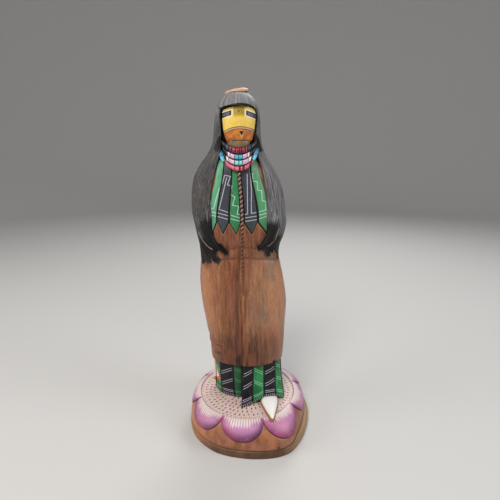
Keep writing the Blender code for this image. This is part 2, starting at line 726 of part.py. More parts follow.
def necklace():
    """Four rows of beads in a bib below the chin, its ends running under the hair."""
    rows = len(NECKLACE) - 1
    profile = []
    for row in range(rows):
        profile += [((row + 0.06) / rows, -0.5), ((row + 0.3) / rows, 1.0), ((row + 0.7) / rows, 1.0)]
    profile.append((0.995, -0.5))
    rings = []
    for i in range(NECKLACE_STEPS + 1):
        turn = 2.0 * i / NECKLACE_STEPS - 1.0
        ring = []
        for down, lift in profile:
            x, y, height = necklace_place(turn, down)
            ring.append(placed(x, y - BEAD_RAISE * lift, height))
        for down in (0.96, 0.5, 0.04):
            x, y, height = necklace_place(0.96 * turn, down)
            ring.append(placed(x, y + NECKLACE_ROOT, height))
        rings.append(ring)
    ends = []
    for turn in (-1.1, 1.1):
        x, y, height = necklace_place(turn, 0.5)
        ends.append(placed(x, y + NECKLACE_ROOT / 2, height))
    return mesh_object("necklace", rings, low=ends[0], high=ends[1])


def side_block(name, upper_x, upper_height, lower_x, lower_height, half):
    """A flat stone at the end of the necklace, narrower towards its foot."""
    rings = []
    shape = ((0.0, 0.35, 0.0), (0.14, 0.8, 0.5), (0.6, 1.0, 0.6), (0.92, 1.0, 0.5), (1.0, 0.8, 0.0))
    for level, width, lift in shape:
        x = lerp(lower_x, upper_x, level)
        height = lerp(lower_height, upper_height, level)
        y = lerp(SIDE_BLOCK_Y[1], SIDE_BLOCK_Y[0], level) - lift
        wide = half * width
        ring = [(x - wide, y + 0.5), (x - 0.7 * wide, y), (x + 0.7 * wide, y), (x + wide, y + 0.5)]
        ring += [(x + wide, y + NECKLACE_ROOT), (x - wide, y + NECKLACE_ROOT)]
        rings.append([placed(a, b, height) for a, b in ring])
    return mesh_object(name, rings, low=middle_of(rings[0]), high=middle_of(rings[-1]))


def head_tie():
    """The bent wooden tie that lies across the crown, lower at the figure's right."""
    rings = []
    for i in range(TIE_STEPS + 1):
        share = 2.0 * i / TIE_STEPS - 1.0
        full = math.sqrt(max(0.0, 1.0 - (abs(share) * 0.97) ** 2.6))
        x = share * TIE_HALF_LENGTH
        z = -TIE_DROOP * share * share
        ring = []
        for k in range(TIE_SIDES):
            spin = 2 * math.pi * k / TIE_SIDES
            depth = TIE_HALF_DEPTH * full * math.cos(spin)
            lift = TIE_HALF_THICKNESS * (0.45 + 0.55 * full) * math.sin(spin) * lerp(0.8, 1.15, i / TIE_STEPS)
            bend = -0.8 * (depth / TIE_HALF_DEPTH) ** 2
            across = x * math.cos(TIE_TILT) - (z + lift + bend) * math.sin(TIE_TILT)
            up = x * math.sin(TIE_TILT) + (z + lift + bend) * math.cos(TIE_TILT)
            ring.append(placed(TIE_MIDDLE[0] + across, TIE_MIDDLE[1] + depth, TIE_MIDDLE[2] + up))
        rings.append(ring)
    return mesh_object("head_tie", rings, low=middle_of(rings[0]), high=middle_of(rings[-1]))


def shoe():
    """The pointed shoe that shows below the hem, with a sole wider than its upper."""
    rings = []
    for far, half, top in SHOE:
        sole = half + SHOE_SOLE_MARGIN
        ring = []
        profile = [(-sole, -SHOE_ROOT), (-sole, 0.6 * SHOE_SOLE), (-sole + 0.4, SHOE_SOLE), (-half, SHOE_SOLE)]
        arch = []
        for k in range(1, SHOE_SIDES):
            spin = math.pi * k / SHOE_SIDES
            lift = max(0.0, top - SHOE_SOLE) * math.sin(spin) ** 0.8
            arch.append((-half * math.cos(spin), SHOE_SOLE + lift))
        for side, z in profile + arch + [(-s, h) for s, h in profile[::-1]]:
            x = SHOE_HEEL[0] + side * math.cos(SHOE_TURN) + far * math.sin(SHOE_TURN)
            y = SHOE_HEEL[1] + side * math.sin(SHOE_TURN) - far * math.cos(SHOE_TURN)
            ring.append(placed(x, y, z))
        rings.append(ring)
    return mesh_object("shoe", rings)


def sash():
    """The sash end that hangs at the figure's right side, with a pointed foot."""
    rings = []
    for level in (0.0, 0.15, 0.5, 1.0):
        x, y, z = (lerp(a, b, level) for a, b in zip(SASH_FOOT, SASH_TOP))
        ring = []
        for side, thick in ((-1, -1), (0, -1), (1, -1), (1, 1), (0, 1), (-1, 1)):
            drop = SASH_POINT * (1 - abs(side)) * (1.0 - level)
            ring.append(placed(x + thick * SASH_HALF_THICKNESS, y + side * SASH_HALF_WIDTH, z - drop))
        rings.append(ring)
    return mesh_object("sash", rings, low=middle_of(rings[0]), high=middle_of(rings[-1]))


def unite(body, pieces):
    """Joins pieces to a body by one Boolean union, which stays on it as a modifier."""
    group = bpy.data.collections.new("joined_pieces")
    bpy.context.scene.collection.children.link(group)
    for piece in pieces:
        bpy.context.scene.collection.objects.unlink(piece)
        group.objects.link(piece)
        piece.hide_render = True
        piece.display_type = "WIRE"
    join = body.modifiers.new("join", "BOOLEAN")
    join.operation = "UNION"
    join.solver = "EXACT"
    join.operand_type = "COLLECTION"
    join.collection = group


def main():
    for obj in list(bpy.data.objects):
        bpy.data.objects.remove(obj, do_unlink=True)
    for group in list(bpy.data.collections):
        bpy.data.collections.remove(group)
    plate = base_plate()
    plate.data.materials.append(wood("plate_wood", (0.36, 0.21, 0.10), 0.55))
    carving = mound()
    carving.name = carving.data.name = "carving"
    carving.data.materials.append(wood("carved_wood", (0.33, 0.15, 0.07), 0.50))
    pieces = [robe(), sash(), shoe(), dress(), hair()]
    pieces += [lock("left_lock", LEFT_LOCK), lock("right_lock", RIGHT_LOCK), mask()]
    pieces.append(necklace())
    pieces += [side_block(f"side_block_{i + 1}", *row) for i, row in enumerate(SIDE_BLOCKS)]
    pieces.append(head_tie())
    unite(carving, pieces)
    for obj in (plate, carving):
        obj.data.shade_smooth()
        obj.data.set_sharp_from_angle(angle=math.radians(35.0))


main()
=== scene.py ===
import math

import bpy
import numpy as np
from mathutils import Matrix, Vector, noise


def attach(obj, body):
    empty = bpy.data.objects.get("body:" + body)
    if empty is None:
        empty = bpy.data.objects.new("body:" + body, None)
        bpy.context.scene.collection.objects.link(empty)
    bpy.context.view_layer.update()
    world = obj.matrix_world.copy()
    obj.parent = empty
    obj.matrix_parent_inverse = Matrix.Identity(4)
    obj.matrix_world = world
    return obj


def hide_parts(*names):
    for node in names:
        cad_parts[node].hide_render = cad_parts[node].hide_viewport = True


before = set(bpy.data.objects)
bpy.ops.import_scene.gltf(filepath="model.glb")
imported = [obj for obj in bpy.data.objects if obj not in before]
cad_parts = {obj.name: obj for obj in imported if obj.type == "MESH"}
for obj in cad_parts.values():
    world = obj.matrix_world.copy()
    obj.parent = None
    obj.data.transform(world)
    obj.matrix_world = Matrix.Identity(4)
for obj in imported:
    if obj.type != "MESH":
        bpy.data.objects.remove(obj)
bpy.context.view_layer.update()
rng = np.random.default_rng(11)

# Driving sizes
FIGURE_HEIGHT = 0.27
MOUND_HEIGHT = 0.0225
MOUND_FOOT = 0.0025
MOUND_FOOT_ROUND = 0.0005
MOUND_INSET = 0.0006
PLATE_THICKNESS = 0.0068
PLATE_RADIUS = 0.058
PLATE_EDGE_ROUND = 0.0014
PLATE_FOOT_ROUND = 0.0008
SEAT_GAP = 0.0003

# The flower on the mound
DISC_RADIUS = 0.0443
DISC_CENTRE = (-0.0025, 0.001)
FIGURE_SHIFT = 0.002
DISC_CROWN = 0.001
PETAL_RAISE = 0.0007
PETAL_GROOVE = 0.0005
PETAL_TIP_SHARE = 0.93
PETAL_CUSP_SHARE = 0.12
# Directions of the cusps between the petals, in degrees round the disc from +X
PETAL_CUSPS = [-161, -116.5, -74, -31, 13.5, 58.5, 104, 151.5]

# How finely the surfaces are faceted
DRESS_BACK_COLUMNS = 18
HAIR_COLUMNS = 44

# The camera: focal length and sensor width in mm, place, and tilt from straight down in degrees
CAMERA_LENS = 27
CAMERA_SENSOR = 36
CAMERA_PLACE = (0, -0.31997, 0.24686)
CAMERA_TILT = 76
# The floor: paint, and how many sides it is drawn with
FLOOR_GREY = (205, 203, 200)
FLOOR_SIDES = 96

# The plate's outline: direction in degrees from +X, and reach as a share of PLATE_RADIUS
OUTLINE = [
    (-180, 1), (-164, 1.01), (-150, 1.018), (-136, 1.014), (-117, 1), (-99, 0.982), (-82, 0.998),
    (-67, 1.032), (-56, 1.04), (-39, 0.985), (-18, 0.945), (8, 0.97), (35, 1.02), (52, 1.055), (70, 1.025),
    (90, 0.985), (110, 1), (130, 1.06), (146, 1.065), (163, 1.02), (180, 1),
]
# Where the plate stands out beyond the mound: direction of its middle, half its span, and how far
LEDGE = (-14, 48, 0.0034)

UNIT = FIGURE_HEIGHT / 270
GROUND = PLATE_THICKNESS + SEAT_GAP + MOUND_HEIGHT

# Sections of the dress: height, middle x, half width, middle y, front depth, back depth
DRESS = [
    (37, -4.6, 33.2, 2, 23.6, 24), (51, -4.9, 34.3, 2, 24.6, 25), (71, -6, 36, 2, 26, 26.5),
    (91, -7.2, 38, 2, 27, 28), (111, -9.2, 37.3, 2, 26.8, 28.5), (126, -10.4, 35.2, 1.6, 25.2, 27.5),
    (136, -11, 33.3, 1.2, 24, 25.5), (144, -11, 32.4, 1, 24, 24.5), (156, -10.6, 32.6, 1, 25.6, 24.5),
    (167, -11, 33, 1, 25.8, 24.5), (181, -12, 32.4, 1, 25, 24), (196, -13, 30, 1, 24, 22.5),
    (207, -13, 25, 0.5, 22.8, 20), (217, -12.6, 17.6, 0, 19.5, 16), (227, -11.6, 14.6, -1, 15, 12),
    (236, -11.4, 14, -1, 12, 10),
]
DRESS_POWER = 2.25
DRESS_TOP = 233
HEM = 37
BODICE_TOP = 215

# Hanging strips of the bodice: x of each column at the points' height and at the neck, height of its lower edge
NOTCH = 166.7
POINT = 156.8
WAIST_RING = POINT - 9.8
STRIPS = [
    (-36, -27.5, NOTCH), (-32.2, -24.6, POINT), (-28.4, -22, NOTCH), (-23.8, -18.8, POINT),
    (-18.6, -15.6, NOTCH), (-12.9, -13.4, POINT), (-9.5, -12, NOTCH), (-8.3, -11, NOTCH),
    (-7.1, -10, NOTCH), (-0.6, -6, POINT), (3.9, -2.3, NOTCH), (11, 1.5, POINT), (15.6, 4, NOTCH),
]
SEAM = (6, 7, 8)
# The dress's main column where the strips start, and those of the seam
FIRST_STRIP = 3
SEAM_PLACES = [FIRST_STRIP + k for k in SEAM]
STRIP_RAISE = 0.7
SEAM_RAISE = 1.1
OVERLAP_RAISE = 1.3
OVERLAP_START = 108
OVERLAP_FULL = 98

# Waist creases and skirt folds: height, half height, depth
WAIST_CREASES = [(145.4, 2.4, 0.55), (136.6, 2.2, 0.5)]
CREASE_FALL = 0.14
SKIRT_FOLDS = [(54.6, 8, 1.3), (45.6, 6, 1.1)]
FOLD_END_X = -24
FOLD_SLOPE = 0.55
FOLD_SPAN = (37, 44, 58, 84)

# Under-robe columns: foot x, foot y, foot height, top x, top y
ROBE = [
    (-10, -30, -0.9, -8, -19.6), (0.4, -25, 1.8, 0.8, -20.2), (10.6, -21.6, 5.2, 10.2, -18.8),
    (21.6, -19.6, 5.2, 20.6, -14.6), (29.6, -15.4, 0.2, 25.2, -7), (29.4, -3, -0.9, 26.4, 3),
    (27.6, 10, -0.9, 25.6, 11), (19.6, 20, -0.9, 18.6, 18.4), (9, 24.4, -0.9, 8.4, 22.2),
    (-3, 25.8, -0.9, -3, 23.2), (-15.4, 24.4, -0.9, -15, 22), (-26.6, 20, -0.9, -25.6, 17.6),
    (-34, 11.4, -0.9, -32.6, 10.4), (-34.2, 1.6, -0.5, -34, 0.6), (-27.8, -8.6, 0.4, -30, -8.6),
    (-15.4, -14.2, 0.6, -17, -15.2), (-9.4, -14.6, 0.6, -9, -16.4),
]
ROBE_TOP = 42
ROBE_STRIP_BULGE = 1
ROBE_FLARE_POWER = 1.8
ROBE_ROOT = 5

# Sections of the hair mass: height, middle x, half width, middle y, front depth, back depth
HAIR = [
    (116, -10, 37.4, 1.8, 26.8, 29.6), (126, -10.6, 36, 1.5, 26.4, 29), (136, -11.2, 34.6, 1.2, 25.4, 27.8),
    (144, -11, 35, 1, 25.9, 27.6), (151, -10.3, 37, 1, 27.4, 28), (161, -10.1, 39.1, 1, 28.6, 28.6),
    (171, -11.3, 39.7, 1, 28.8, 29), (181, -12, 39.3, 1, 28.4, 29.2), (191, -12.7, 38, 1, 27.4, 28.6),
    (201, -13.5, 35.1, 0.6, 26.2, 27.2), (211, -13.5, 29.6, 0, 24.6, 25),
    (219, -13.1, 23.8, -0.6, 23, 23.2), (227, -12.4, 20.2, -1, 21.8, 22.2),
    (236, -12.3, 19, -1, 21.6, 22.6), (246, -12.1, 18.2, -1, 22.4, 22.8), (252, -12.1, 17.6, -1, 22.8, 22),
    (257, -12.1, 16.2, -0.6, 21.6, 20), (261, -12, 13.8, 0, 18.4, 17),
    (264.5, -11.9, 10.4, 0.6, 13.6, 13.2), (267.2, -11.9, 5.6, 1, 7.4, 7.4),
]
HAIR_POWER = 2.3
CROWN = (-11.9, 1, 268.2)
BANGS = 254.6
BANGS_SAG = 1.6
HAIR_EDGE_ROUND = 2.2
HAIR_TIP_THIN = 0.955
HAIR_ROOT = 3
# The hair's opening: how deep it is at the mask and over the bodice, and where and by how much its sides slope
HAIR_OPENING_DEPTH = (0.15, 0.7)
HAIR_ARMS = (168, 200)
HAIR_ARM_SLOPE = 6
FRINGE_THICKNESS = 2.4
ELBOW = 171
# Inner edges of the hair beside the face and bodice: height, left x, right x
HAIR_EDGES = [
    (116, -28.4, 14), (138, -28.6, 14), (144, -30.6, 14), (152, -33.2, 14.2), (161, -34.8, 14.6),
    (171, -35.6, 15), (181, -35.6, 14.2), (191, -34.4, 12.8), (201, -32, 11), (211, -29.4, 8.6),
    (219, -27.4, 5.4), (227, -26.4, 3.6), (240, -26.6, 3.6), (256, -26.6, 3.6),
]
# Lower ends of the locks: share of the way round from the left inner edge, height
HAIR_ENDS = [
    (0, 133), (0.03, 130.6), (0.075, 141), (0.13, 125), (0.2, 131), (0.28, 121), (0.36, 127), (0.43, 118.6),
    (0.5, 123), (0.57, 118.6), (0.64, 127), (0.72, 121.5), (0.8, 131), (0.87, 127), (0.93, 141),
    (0.97, 138), (1, 141),
]
# Front locks laid over the hair: height, inner x, outer x, from the shoulder to the tip
LEFT_LOCK = [
    (200, -36, -46), (189, -36.6, -48.5), (178, -36.6, -49.2), (168, -36, -48.4), (160, -34.9, -45),
    (153.6, -33, -40.4), (148.6, -30, -35.8), (145, -26.2, -31.4), (142.2, -22.4, -26.2),
    (140.4, -20.2, -21.2),
]
RIGHT_LOCK = [
    (200, 13, 23), (189, 15.4, 26.4), (178, 16, 27.4), (168, 15.7, 26.6), (159, 14.4, 24),
    (152.6, 12, 20.2), (148.6, 9, 15.8), (146, 6.2, 10.8), (145, 4.4, 5.4),
]
LOCK_SUNK = -2.6
LOCK_RAISE = 1.5

# Sections of the mask: height, middle x, half width, middle y, front depth, back depth
MASK = [
    (224.6, -10.8, 7, -4, 9.4, 6), (227.2, -10.8, 10.6, -3, 14.6, 8), (230.6, -10.8, 12.9, -2, 18, 10),
    (235.6, -10.8, 14.4, -1.4, 20, 11), (241.6, -10.8, 15.2, -1, 20.8, 11),
    (248.6, -10.8, 15.6, -1, 20.6, 11), (254.6, -10.8, 15.6, -1, 19.6, 11),
    (258.6, -10.8, 13.4, -1, 17, 10),
]
MASK_POWER = 2.15
MASK_CHIN = 224.6
MASK_JAW = 230.2
MASK_TOP = BANGS + 4

# Necklace: lower edge of each arc, its radius and its half turn in degrees, from the chin down
NECKLACE = [
    (225.6, 19, 50), (219, 16.5, 57), (214.7, 15, 61), (210.3, 14, 62), (206.2, 13, 62),
]
NECKLACE_MIDDLE_X = -10.6
NECKLACE_FRONT = (-20.4, -25.6)
NECKLACE_SIDE_DROP = 7.5
BEAD_RAISE = 0.8
NECKLACE_ROOT = 7
# Side blocks of the necklace: x and height of the upper end, then of the lower end, and half width
SIDE_BLOCKS = [(-25.8, 222.4, -22.6, 213.4, 1.75), (3.6, 223.6, 0.9, 214.4, 1.75)]
SIDE_BLOCK_Y = (-15, -21.6)

# Head tie across the crown
TIE_HALF_LENGTH = 9.3
TIE_MIDDLE = (-13, 0.4, 267.3)
TIE_TILT = math.radians(8.5)
TIE_HALF_DEPTH = 8
TIE_HALF_THICKNESS = 2.1
TIE_DROOP = 0.5

# Shoe: distance from the heel, half width and top height
SHOE = [
    (0, 7, 4.4), (5.5, 7.6, 5.4), (9.5, 7.3, 5.8), (14.5, 6.2, 5.5), (20, 4.7, 4.8), (25.5, 3, 4),
    (30, 1.5, 3.1), (32.5, 0.5, 2.3),
]
SHOE_HEEL = (15.2, -13.8)
SHOE_TURN = math.radians(3.5)
SHOE_SOLE = 1.5
SHOE_SOLE_MARGINS = (1.3, 0.6)
SHOE_ROOT = 2

# Sash end on the left of the robe: foot, top, width, thickness
SASH_FOOT = (-35.6, 5.6, 5)
SASH_TOP = (-35.4, 3.4, 38.5)
SASH_HALF_WIDTH = 5.4
SASH_HALF_THICKNESS = 1.3
SASH_POINT = 3
# How finely the surfaces are divided
PLATE_COLUMNS = 288
FINE_PETAL = 32
ROBE_STEPS = 10
DRESS_SIDE_STEPS = 5
DRESS_BACK_STEPS = 4
STRIP_STEPS = 8
SEAM_STEPS = 3
STRANDS = 132
FRINGE_STRANDS = 17
LOCK_STRANDS = 8
LOCK_ROWS = 44
MASK_FINE = 88
SHOE_FINE = 30
CORD_SIDES = 12
CORD_PITCH = 1.75
CORD_RADIUS = (0.75, 1.12)
CORD_OUT = 0.55
CHIN_DROP = 4.5
FIRST_ROW_TOP = 0.2

# How far each stripe's line pattern on the under-robe is moved down, and how it tilts
ROBE_PHASES = [-6.2, -2.8, -2.1, -4, 1, 0, 2, -1, 0, 1.5, -2, 0.5, 1, 0, -2.9, -4.7, 0]
ROBE_TILTS = [2.4, 5.4, 0.6, -2.6, 0, 0, 0, 0, 0, 0, 0, 0, 0, 0, -3.3, 0, 0]


def lerp(a, b, t):
    return a + (b - a) * t


def smooth(t):
    t = min(1, max(0, t))
    return t * t * (3 - 2 * t)


def along(rows, height):
    """The row at a height, by a smooth curve through rows that rise with their first number."""
    if height <= rows[0][0]:
        return rows[0][1:]
    if height >= rows[-1][0]:
        return rows[-1][1:]
    i = max(k for k in range(len(rows) - 1) if rows[k][0] <= height)
    span = rows[i + 1][0] - rows[i][0]
    t = (height - rows[i][0]) / span
    found = []
    for c in range(1, len(rows[0])):
        here, there = rows[i][c], rows[i + 1][c]
        slope_here = slope_there = (there - here) / span
        if i > 0:
            slope_here = (there - rows[i - 1][c]) / (rows[i + 1][0] - rows[i - 1][0])
        if i + 2 < len(rows):
            slope_there = (rows[i + 2][c] - here) / (rows[i + 2][0] - rows[i][0])
        t2, t3 = t * t, t * t * t
        found.append(
            (2 * t3 - 3 * t2 + 1) * here
            + (t3 - 2 * t2 + t) * span * slope_here
            + (3 * t2 - 2 * t3) * there
            + (t3 - t2) * span * slope_there
        )
    return tuple(found)


def broken_line(points, at):
    """Straight runs through (position, value) points."""
    for (a, first), (b, second) in zip(points, points[1:]):
        if at <= b:
            return lerp(first, second, max(0, (at - a) / (b - a)))
    return points[-1][1]


def section_point(row, angle, power, out=0):
    """A point of an oval section. Angle 0 is the figure's -X side, 90 degrees its front and 270 its back."""
    middle_x, half, middle_y, front, back = row
    c, s = math.cos(angle), math.sin(angle)
    depth = front if s > 0 else back
    x = middle_x - math.copysign(abs(c) ** (2 / power), c) * (half + out)
    y = middle_y - math.copysign(abs(s) ** (2 / power), s) * (depth + out)
    return x, y


def front_angle(row, x, power):
    """The angle at which the section's front has this x."""
    share = min(1, max(-1, (row[0] - x) / row[1]))
    return math.acos(math.copysign(abs(share) ** (power / 2), share))


def placed(x, y, height):
    """From figure units above the disc to metres."""
    return FIGURE_SHIFT + x * UNIT, y * UNIT, GROUND + height * UNIT


def round_disc(angle, radius, z):
    """A point round the middle of the mound's disc."""
    return DISC_CENTRE[0] + radius * math.cos(angle), DISC_CENTRE[1] + radius * math.sin(angle), z


def outline_reach(angle):
    return PLATE_RADIUS * along(OUTLINE, math.degrees(math.atan2(math.sin(angle), math.cos(angle))))[0]


def outline_middle():
    """The middle of the box round the plate's outline."""
    angles = [2 * math.pi * i / 720 for i in range(720)]
    xs = [outline_reach(a) * math.cos(a) for a in angles]
    ys = [outline_reach(a) * math.sin(a) for a in angles]
    return (min(xs) + max(xs)) / 2, (min(ys) + max(ys)) / 2


def mound_reach(angle):
    """How far the mound reaches from the plate's middle, less than the plate where the plate leaves a ledge."""
    middle, half, wide = LEDGE
    away = (math.degrees(angle) - middle + 180) % 360 - 180
    ledge = wide * smooth(1.6 * (1 - abs(away) / half))
    return outline_reach(angle) - MOUND_INSET - ledge


def mound_reach_from_disc(angle, middle):
    """How far the mound reaches from the disc's centre, found by halving."""
    low, high = 0, 2 * PLATE_RADIUS
    for _ in range(30):
        reach = (low + high) / 2
        x = DISC_CENTRE[0] + reach * math.cos(angle) + middle[0]
        y = DISC_CENTRE[1] + reach * math.sin(angle) + middle[1]
        inside = math.hypot(x, y) < mound_reach(math.atan2(y, x))
        low, high = (reach, high) if inside else (low, reach)
    return low


def petal_edge(across):
    """How far down the mound's shoulder a petal reaches, as a share."""
    lobe = (1 - min(1, abs(across)) ** 2.6) ** (1 / 2.2)
    return lerp(PETAL_CUSP_SHARE, PETAL_TIP_SHARE, lobe)


def dress_angles(height):
    """The dress's columns at a height: the left side, the strips and seam, the right side and the back."""
    row = along(DRESS, height)
    rise = smooth((height - NOTCH) / (BODICE_TOP - NOTCH))
    front = [front_angle(row, lerp(low, high, rise), DRESS_POWER) for low, high, _ in STRIPS]
    left = [front[0] * i / 3 for i in range(3)]
    right = [lerp(front[-1], math.pi, i / 3) for i in range(1, 4)]
    back = [math.pi + math.pi * i / DRESS_BACK_COLUMNS for i in range(1, DRESS_BACK_COLUMNS)]
    return left + front + right + back


def fold_rise(level, x):
    """How far a row of the skirt is bent up at this x, so that it runs along the folds."""
    start, full, hold, end = FOLD_SPAN
    share = smooth((level - start) / (full - start)) * (1 - smooth((level - hold) / (end - hold)))
    return share * FOLD_SLOPE * max(0, FOLD_END_X - x)


# Material slots of the carving
SLOTS = ["dress_wood", "bodice_paint", "hair_paint", "mask_paint", "robe_black", "robe_green", "sash_paint",
         "plain_paint", "petal_paint", "disc_paint", "mound_wood"]
(WOOD, BODICE, HAIR_SLOT, MASK_SLOT, ROBE_BLACK, ROBE_GREEN, SASH, PLAIN, PETAL, DISC,
 MOUND_WOOD) = range(len(SLOTS))


def colour(red, green, blue):
    """Screen values from 0 to 255 as linear ones."""
    shares = [v / 255 for v in (red, green, blue)]
    return tuple(s / 12.92 if s <= 0.04045 else ((s + 0.055) / 1.055) ** 2.4 for s in shares)


def wavy(x, y, z, seed=0):
    """A soft random value, about -1 to 1."""
    return noise.noise(Vector((x + 17.3 * seed, y - 9.1 * seed, z + 4.7 * seed)))


def between(first, second, t):
    return [lerp(a, b, t) for a, b in zip(first, second)]


def spread(rows, columns, make):
    """What a function makes of every row and column, gathered kind by kind."""
    made = [[make(row, column) for column in columns] for row in rows]
    return [[[cell[kind] for cell in line] for line in made] for kind in range(len(made[0][0]))]


def closed(rows, last=None):
    """Rows of map places, each with one more column to close it."""
    return [row + [row[0] if last is None else (last, row[0][1])] for row in rows]


class Surface:
    """Closed shells gathered into one mesh, with slots, paint and two sets of map coordinates."""

    def __init__(self):
        self.shells, self.count = [], 0

    def shell(self, rings, slot=PLAIN, paint=(1, 1, 1), run=None, edge=None, low=None, high=None):
        """A shell through closed rings. Slot and paint hold for all, or for each band and column."""
        rings = np.asarray(rings, float)
        rows, columns, _ = rings.shape
        maps = [np.zeros((rows, columns + 1, 2)) if m is None else np.asarray(m, float) for m in (run, edge)]
        grid = np.arange(rows * columns).reshape(rows, columns)
        i, j = np.meshgrid(range(rows - 1), range(columns), indexing="ij")
        k = (j + 1) % columns
        faces = np.stack([grid[i, j], grid[i, k], grid[i + 1, k], grid[i + 1, j]], -1).reshape(-1, 4)
        corners = [np.stack([m[i, j], m[i, j + 1], m[i + 1, j + 1], m[i + 1, j]], 2).reshape(-1, 4, 2)
                   for m in maps]
        slots = np.broadcast_to(slot, (rows - 1, columns))
        paints = np.broadcast_to(np.asarray(paint, float), (rows - 1, columns, 3))
        points = rings.reshape(-1, 3)
        listed = [faces, *corners, slots.reshape(-1), paints.reshape(-1, 3)]
        for row, end, turn in ((0, low, -1), (-1, high, 1)):
            tip = np.full(columns, len(points))
            points = np.vstack([points, rings[row].mean(axis=0) if end is None else end])
            caps = [np.stack([*(grid[row], np.roll(grid[row], -1))[::turn], tip, tip], -1)]
            for m in maps:
                a, b = (m[row, :-1], m[row, 1:])[::turn]
                caps.append(np.stack([a, b, (a + b) / 2, (a + b) / 2], 1))
            listed = [np.concatenate(pair) for pair in zip(listed, [*caps, slots[row], paints[row]])]
        p = points[listed[0]]
        doubled = np.einsum("ij,ij->i", p[:, 0], np.cross(p[:, 1], p[:, 2]))
        doubled += np.einsum("ij,ij->i", p[:, 0], np.cross(p[:, 2], p[:, 3]))
        if doubled.sum() < 0:
            # Turned round, with a cap's doubled corner still last
            caps = listed[0][:, 2] == listed[0][:, 3]
            for n in range(3):
                listed[n] = listed[n][:, ::-1].copy()
                listed[n][caps] = np.roll(listed[n][caps], -2, axis=1)
        listed[0] = listed[0] + self.count
        self.shells.append((points, *listed))
        self.count += len(points)

    def build(self, name, materials, sharp):
        points, faces, runs, edges, slots, paints = (np.concatenate(part) for part in zip(*self.shells))
        mesh = bpy.data.meshes.new(name)
        three = faces[:, 2] == faces[:, 3]
        mesh.from_pydata(points.tolist(), [], [f[:3] if t else f for f, t in zip(faces.tolist(), three)])
        for material in materials:
            mesh.materials.append(material)
        mesh.polygons.foreach_set("material_index", slots.astype(np.int32))
        keep = np.ones((len(faces), 4), bool)
        keep[three, 3] = False
        for map_name, values in (("run", runs), ("edge", edges)):
            layer = mesh.uv_layers.new(name=map_name)
            layer.data.foreach_set("uv", values[keep].astype(np.float32).ravel())
        paints = np.hstack([paints, np.ones((len(faces), 1))])
        layer = mesh.color_attributes.new("paint", "FLOAT_COLOR", "CORNER")
        layer.data.foreach_set("color",
                               np.repeat(paints[:, None], 4, axis=1)[keep].astype(np.float32).ravel())
        mesh.shade_smooth()
        mesh.set_sharp_from_angle(angle=sharp)
        mesh.update()
        obj = bpy.data.objects.new(name, mesh)
        bpy.context.scene.collection.objects.link(obj)
        return obj


def plate_shell(surface):
    """The flat plate, its edges worn round and its rim slightly uneven."""
    middle = outline_middle()
    top = PLATE_THICKNESS - PLATE_EDGE_ROUND
    levels = [(PLATE_FOOT_ROUND * (1 - math.cos(t)), PLATE_FOOT_ROUND * (1 - math.sin(t)))
              for t in np.linspace(0, math.pi / 2, 5)]
    levels += [(lerp(PLATE_FOOT_ROUND, top, t), 0) for t in (0.2, 0.4, 0.6, 0.8)]
    levels += [(top + PLATE_EDGE_ROUND * math.sin(t), PLATE_EDGE_ROUND * (1 - math.cos(t)))
               for t in np.linspace(0, math.pi / 2, 7)]
    levels.append((PLATE_THICKNESS, 0.006))

    def at(level, i):
        z, inset = level
        angle = 2 * math.pi * i / PLATE_COLUMNS
        c, s = math.cos(angle), math.sin(angle)
        reach = outline_reach(angle) - inset
        worn = 0.00012 * (1 + wavy(90 * reach * c, 90 * reach * s, 300 * z)) * (inset < 0.005)
        return (reach * c - middle[0] - worn * c, reach * s - middle[1] - worn * s, z), (i / PLATE_COLUMNS, z)

    rings, run = spread(levels, range(PLATE_COLUMNS), at)
    surface.shell(rings, slot=0, run=closed(run, 1))


